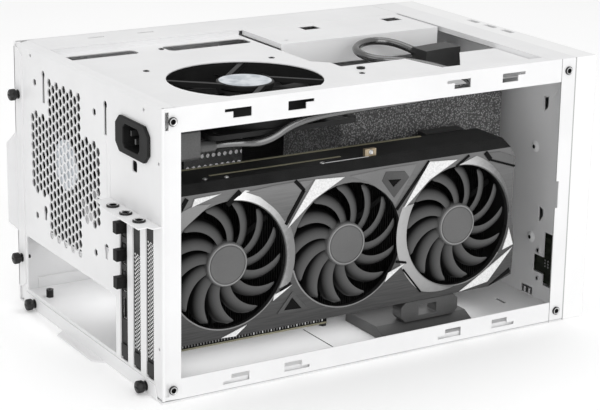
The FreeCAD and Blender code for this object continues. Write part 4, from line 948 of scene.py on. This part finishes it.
def makeCooler(finPitch, finThick, ends, front, back, low, high, tip, base, baseDeep, block, blockDeep, pipes,
               pipeRadius, pipeDepth):
    shell = Shell()
    for x in np.arange(ends[0], ends[1] - finThick, finPitch):
        shell.pull("xz", rect(x, x + finThick, low, high), front, back)
        shell.pull("xz", rect(x, x + finThick, low, low + tip), front - 0.3, front + 2.0, 1)
    shell.pull("xz", rect(*ends, *base), *baseDeep)
    shell.pull("xz", rect(*block), *blockDeep)
    for z in pipes:
        shell.tube((ends[0] - 1.5, pipeDepth, z), (ends[1] - 2.0, pipeDepth, z), pipeRadius, pipeRadius)
    shell.piece("cardCooler", ["finAluminium", "finTip"], replaced=["card_heatsink"])


makeCooler(**cooler)

# Raised facets on the card's shroud: finish, rise, and outlines in mm on its front face, x then z
faceY = boxOf("card_shroud")[0][1]
facets = {
    "brushedPanels": ("brushedPanel", 0.7, [[(-114.3, 139.4), (-92.4, 141.1), (-75.5, 141.5), (-68.6, 134.5),
                                             (-82.3, 113.2), (-91.2, 124.0), (-102.8, 134.3)],
                                            [(-71.0, 141.3), (-58.8, 140.8), (-66.1, 135.3)]]),
    "lightPanels": ("facetPlastic", 0.6, [[(-178.0, 127.0), (-164.8, 132.1), (-155.2, 135.3), (-141.8, 134.7),
                                           (-164.8, 118.6), (-178.0, 104.0)]]),
    "middlePanels": ("panelPlastic", 0.5, [[(-28.0, 139.5), (0.0, 141.0), (30.0, 141.0), (12.0, 112.0),
                                            (3.0, 122.0), (-12.0, 133.0)]]),
    "rimBlocks": ("hubPlastic", 0.6, [[(93.3, 141.3), (97.9, 136.0), (119.8, 128.5), (120.7, 135.2),
                                       (106.4, 140.7)]]),
    # dark slits at the lower right of the shroud: painted shade
    "gapPanels": ("darkGap", 0.25, [[(100.7, 35.0), (120.0, 46.5), (121.5, 42.5), (102.0, 34.6)]])}
embossed = [([(-75.1, 59.8), (-87.6, 45.0), (-62.4, 45.1)], [(-75.5, 55.4), (-82.2, 46.7), (-67.4, 45.9)]),
            ([(-0.5, 132.1), (2.8, 138.7), (19.3, 137.1), (23.7, 131.9), (10.6, 117.9)],
             [(4.8, 132.4), (16.6, 131.3), (9.7, 126.1)])]
gapLines = [((-74.0, 142.0), (-66.6, 134.0), 2.6), ((-66.6, 134.4), (-81.6, 111.0), 2.6),
            ((41.2, 141.6), (13.3, 108.3), 2.2), ((-129.0, 132.0), (-118.6, 140.6), 3.6),
            ((-160.5, 141.0), (-166.0, 132.6), 3.0), ((-76.6, 66.6), (-85.0, 61.4), 2.0),
            ((14.2, 68.0), (23.5, 66.0), 1.8), ((92.6, 141.6), (97.6, 135.6), 3.4),
            ((97.4, 135.4), (120.6, 127.6), 1.6), ((20.6, 61.0), (37.2, 40.6), 1.2),
            ((66.0, 134.4), (77.6, 141.4), 1.6)]
# fan, inner radius, first and last outer radius, first and last angle at the inner edge, at the outer, rise
bands = {"rearBand": [(1, 47.4, (54.6, 54.6), (86.0, -29.5), (76.0, -23.0), 1.2)],
         "frontBand": [(3, 47.4, (55.0, 57.0), (151.0, 235.0), (157.0, 235.0), 1.2),
                       (3, 47.4, (57.0, 48.2), (235.0, 266.0), (235.0, 266.0), 1.2)],
         "topBand": [(3, 47.4, (54.2, 48.0), (92.0, 4.0), (74.0, 4.0), 1.0)],
         # thin pale arcs on the lower rims of the three bores: painted highlights
         "facetPlastic": [(k, 46.7, (47.7, 47.7), (195.0, 325.0), (195.0, 325.0), 0.5) for k in (1, 2, 3)]}


def slopedBand(shell, fan, inner, outer, innerTurn, outerTurn, lift):
    # part of a cone round a fan: high at the bore, lower at its outer edge, closed underneath;
    # its ends may lie askew and its outer radius may change from one end to the other
    low, high = boxOf("card_fan_%d" % fan)
    middle = (low + high) / 2
    section = np.array([(0.0, 0.0), (0.0, 0.8 * lift), (0.07, lift), (0.94, 0.3 * lift), (1.0, 0.0)])
    share, rise = section.T
    s = np.linspace(0.0, 1.0, 48)[:, None]
    first, last = (a + (b - a) * share for a, b in zip(innerTurn, outerTurn))
    t = np.radians(first + (last - first) * s)
    radius = inner + (outer[0] + (outer[1] - outer[0]) * s - inner) * share
    y = np.broadcast_to(faceY - rise, t.shape)
    points = np.stack([middle[0] + radius * np.cos(t), y, middle[2] + radius * np.sin(t)], -1)
    n = len(section)
    ends = [list(range(n)), list(range((len(s) - 1) * n, len(s) * n))[::-1]]
    shell.add(points, gridQuads(len(s), n, wrapCols=True) + ends)


def makeFacets():
    root = faceY + 0.2        # each form starts a little inside the shroud
    for name, (finish, rise, outlines) in facets.items():
        shell = Shell()
        for outline in outlines:
            shell.pull("xz", outline, faceY - rise, root)
        shell.piece(name, finish, bevel=min(0.3, rise * 0.4))
    frames = Shell()
    for outer, inner in embossed:
        frames.punch("xz", outer, [inner], faceY - 0.9, root)
        # the sunk middle of each frame is painted shade
        frames.pull("xz", inner, faceY - 0.6, root, 1)
    frames.piece("embossedFrames", ["supportPlastic", "darkGap"], bevel=0.25)
    # dark strips along the facets' edges: painted shadow in the gaps
    gaps = Shell()
    for line in gapLines:
        gaps.pull("xz", strip(*line), faceY - 0.85, root)
    gaps.piece("gapLines", "darkGap")
    for finish, rings in bands.items():
        shell = Shell()
        for ring in rings:
            slopedBand(shell, *ring)
        shell.piece("fan" + finish[0].upper() + finish[1:], finish)


makeFacets()

# Fittings on the card's edges, in mm: sides along the card and across it, then finish slot and height
topEdge = {"screws": [(-124.2, -100.4), (-45.7, -100.6), (-139.8, -97.8)], "screwRadius": 1.9,
           "screwHigh": 0.9,
           "lines": [((-176.0, 60.0, -72.4, -70.3), 1, 0.6), ((-133.0, -24.5, -92.4, -90.4), 1, 0.3),
                     ((-43.6, -6.5, -101.6, -100.8), 2, 0.35)],
           "coil": (-9.0, 0.5, -100.6, -97.4), "coilHigh": 5.5,
           "eye": [(-0.2, 0.0), (-0.2, 1.9), (0.5, 1.9), (0.8, 1.5), (0.5, 0.9), (0.5, 0.0)],
           "edgeStrip": (-171.0, -41.0, -103.4, -102.4), "stripLow": (-5.2, -6.6),
           "teeth": (-168.0, -44.0, 2.4), "toothWide": 0.8, "toothHigh": (-4.2, -1.4),
           "toothDeep": (-104.0, -103.2), "brightFrom": -105.0}


def makeTopEdge():
    form = topEdge
    (_, _, low), (_, _, level) = boxOf("card_shroud")
    r, h = form["screwRadius"], form["screwHigh"]
    head = [(-0.2, 0.0), (-0.2, r), (0.5 * h, r), (h, 0.6 * r), (0.7 * h, 0.4 * r), (0.7 * h, 0.0)]
    shell = Shell()
    for x, y in form["screws"]:
        shell.spin(head, 20, 0, (x, y, level))
    for sides, slot, high in [*form["lines"], (form["coil"], 3, form["coilHigh"])]:
        shell.pull("xy", rect(*sides), level - 0.2, level + high, slot)
    x0, x1, y0, _ = form["coil"]
    shell.spin(form["eye"], 20, 0, ((x0 + x1) / 2, y0, level + 0.55 * form["coilHigh"]), (0, -1, 0))
    # lower edge of the board below the shroud, with a row of bright pins
    middle, bottom = (low + drop for drop in form["stripLow"])
    edge = rect(*form["edgeStrip"])
    # its upper band, just under the shroud, is painted shade
    shell.pull("xy", edge, middle, low + 0.2, 4)
    shell.pull("xy", edge, bottom, middle, 1)
    z0, z1 = (low + drop for drop in form["toothHigh"])
    for k, x in enumerate(np.arange(*form["teeth"])):
        bright = k % 3 == 0 and x > form["brightFrom"]
        shell.pull("xz", rect(x, x + form["toothWide"], z0, z1), *form["toothDeep"], 2 if bright else 5)
    edgeFinishes = ["platedSteel", "oliveEdge", "silverTrim", "copperCoil", "darkGap", "finTip"]
    shell.piece("cardTopFittings", edgeFinishes, bevel=0.12)


makeTopEdge()
print("stage: card")


# Screws in mm: flat head with a sunk bright ring of plated steel as a painted reflection, and a cross recess in
# painted shade
def screwHead(shell, seat, axis, radius, height):
    # axis points out of the head; the recess edge is a four-lobed curve round the middle
    def lobes(t, depth):
        return 1.0 + 0.35 * np.cos(4.0 * t) * (depth < height * 0.79)

    scale = np.array((height, radius))
    crown = [(0.0, 0.0), (0.0, 1.0), (0.72, 1.0), (1.0, 0.86), (0.8, 0.60)] * scale
    recess = [(0.8, 0.60), (0.78, 0.42), (0.25, 0.36), (0.2, 0.0)] * scale
    shell.spin(crown[:4], 32, 0, seat, axis)
    shell.spin(crown[3:], 32, 1, seat, axis)
    shell.spin(recess, 32, 2, seat, axis, lobes)


# name and head radius, node and the way that its heads point
screws = {"headHigh": 1.6, "shank": (1.5, 1.4),
          "groups": [("cornerScrews", 3.2, "corner_screws", (0.0, -1.0, 0.0)),
                     ("slotScrews", 4.6, "slot_screws", (0.0, 0.0, 1.0)),
                     ("plateScrew", 3.2, "plate_screw", (0.0, 0.0, 1.0))]}
# black heads, the sunk ring pale as a painted reflection, the recess in painted shade
steelSet = ["screwBlack", "platedSteel", "darkGap"]


def separateBoxes(node):
    # box of each separate screw of a packed group
    mesh = bmesh.new()
    mesh.from_mesh(nodes[node].data)
    bmesh.ops.remove_doubles(mesh, verts=mesh.verts, dist=2e-6)
    left = set(mesh.verts)
    boxes = []
    while left:
        island = set()
        front = [left.pop()]
        while front:
            vert = front.pop()
            island.add(vert)
            fresh = {edge.other_vert(vert) for edge in vert.link_edges} & left
            left -= fresh
            front += fresh
        spots = np.array([tuple(v.co) for v in island]) / mm
        boxes.append((spots.min(0), spots.max(0)))
    mesh.free()
    return sorted(boxes, key=lambda box: tuple(box[0]))


def makeScrews(headHigh, shank, groups):
    for name, radius, node, way in groups:
        axis = np.array(way)
        shell = Shell()
        for low, high in separateBoxes(node):
            seat = faceMiddle(low, high, axis) - axis * headHigh
            screwHead(shell, seat, axis, radius, headHigh)
            shell.tube(seat, faceMiddle(low, high, -axis), *shank, 12)
        shell.piece(name, steelSet, replaced=[node], sharp=35.0)


makeScrews(**screws)

# Thumb screws in mm: places along the screw with shares of the head's radius, then the shank
thumb = {"radius": 4.5, "knurls": 22, "depth": 0.035, "zone": (0.9, 4.5), "shank": (1.5, 1.4),
         "headHigh": 7.5, "slot": (2.6, 0.45, 0.3),
         "head": [(0.0, 0.0), (0.0, 0.70), (0.5, 0.92), (1.0, 1.0), (4.4, 1.0), (5.0, 0.92), (5.6, 0.66),
                  (6.8, 0.62), (7.0, 0.80), (7.5, 0.80)]}


def makeThumbScrews(radius, knurls, depth, zone, shank, headHigh, head, slot):
    # knurled head: radius rippled by a cosine round the barrel, plain at the waist and the crown
    def knurl(t, along):
        return 1.0 + depth * ((along > zone[0]) & (along < zone[1])) * (np.cos(knurls * t) - 1.0)

    shell = Shell()
    wide, tall, deep = slot
    for low, high in separateBoxes("thumb_screws"):
        x, y, z = centre = faceMiddle(low, high, (-1, 0, 0))
        length = high[0] - low[0]
        profile = [(along, radius * share) for along, share in head]
        profile += [(headHigh, shank[0]), (length, shank[1]), (length, 0.0)]
        shell.spin(profile, knurls * 4, 0, centre, (1, 0, 0), knurl)
        # slot across the head, painted shade
        shell.pull("yz", bar(y, wide, z - tall, z + tall, 0.3, 3), x, x + deep, 1)
    shell.piece("thumbScrews", ["screwBlack", "darkGap"], replaced=["thumb_screws"], sharp=40.0)


makeThumbScrews(**thumb)

# Small fittings in mm on the sheets that carry them
fittings = {"dimples": [(-80.2, 130.4), (-80.2, 56.3)], "dimple": (4.7, 1.7, 1.6), "plateFace": 164.0,
            "plateScrews": [(-90.5, 47.8), (-91.1, 24.8)], "boardFace": 166.5,
            "solder": [(y, z) for y in (-96.6, -100.4) for z in (36.0, 38.4, 40.8)],
            "drop": [(-0.1, 0.0), (-0.1, 0.8), (0.3, 0.7), (0.7, 0.0)],
            "boxes": [(0, 164.2, 165.0, -81.7, -80.3, 8.4, 13.0), (0, 164.2, 165.0, -75.7, -74.3, 8.4, 13.0),
                      (0, -8.9, -8.3, 20.2, 81.4, 205.9, 209.1), (2, 166.6, 168.0, -97.0, -83.5, 30.0, 46.0)],
            "topDots": [(-31.8, -3.9), (0.4, -79.4), (-91.2, 62.0), (-136.1, -1.0)], "topLevel": 205.9,
            "floorSeam": ((-35.8, -62.8), (-35.6, -106.0), 0.9), "floorLevel": 8.0}


def makeFittings():
    # boxes: two ribs of the front plate, a lip on the drive cage, a tab of the front board
    form = fittings
    face = form["plateFace"]
    inward = (-1, 0, 0)
    wide, hole, high = form["dimple"]
    cone = [(-0.1, hole), (-0.1, wide), (0.1, wide), (high, 0.5 * wide), (high, hole), (-0.1, hole)]
    # a disc of painted shade fills the hole of each dimple
    dark = [(-0.1, 0.0), (-0.1, hole), (high - 0.1, hole), (high - 0.1, 0.0)]
    shell = Shell()
    for y, z in form["dimples"]:
        shell.spin(cone, 32, 0, (face, y, z), inward)
        shell.spin(dark, 24, 1, (face, y, z), inward)
    for slot, x0, x1, *sides in form["boxes"]:
        shell.pull("yz", rect(*sides), x0, x1, slot)
    shell.piece("plateDimples", ["whiteCoat", "darkGap", "circuitBoard"])
    bright = Shell()
    for y, z in form["plateScrews"]:
        screwHead(bright, (face, y, z), inward, 2.1, 1.0)
    for y, z in form["solder"]:
        bright.spin(form["drop"], 12, 1, (form["boardFace"], y, z), inward)
    bright.piece("plateScrews", ["platedSteel", "platedSteel", "darkGap"])
    marks = Shell()
    for x, y in form["topDots"]:
        screwHead(marks, (x, y, form["topLevel"]), (0, 0, 1), 2.3, 0.6)
    level = form["floorLevel"]
    # a dark line where the floor plates meet: painted shadow of the step
    marks.pull("xy", strip(*form["floorSeam"]), level - 0.2, level + 0.08, 2)
    marks.piece("sheetMarks", steelSet)


makeFittings()
print("stage: fasteners and fittings")
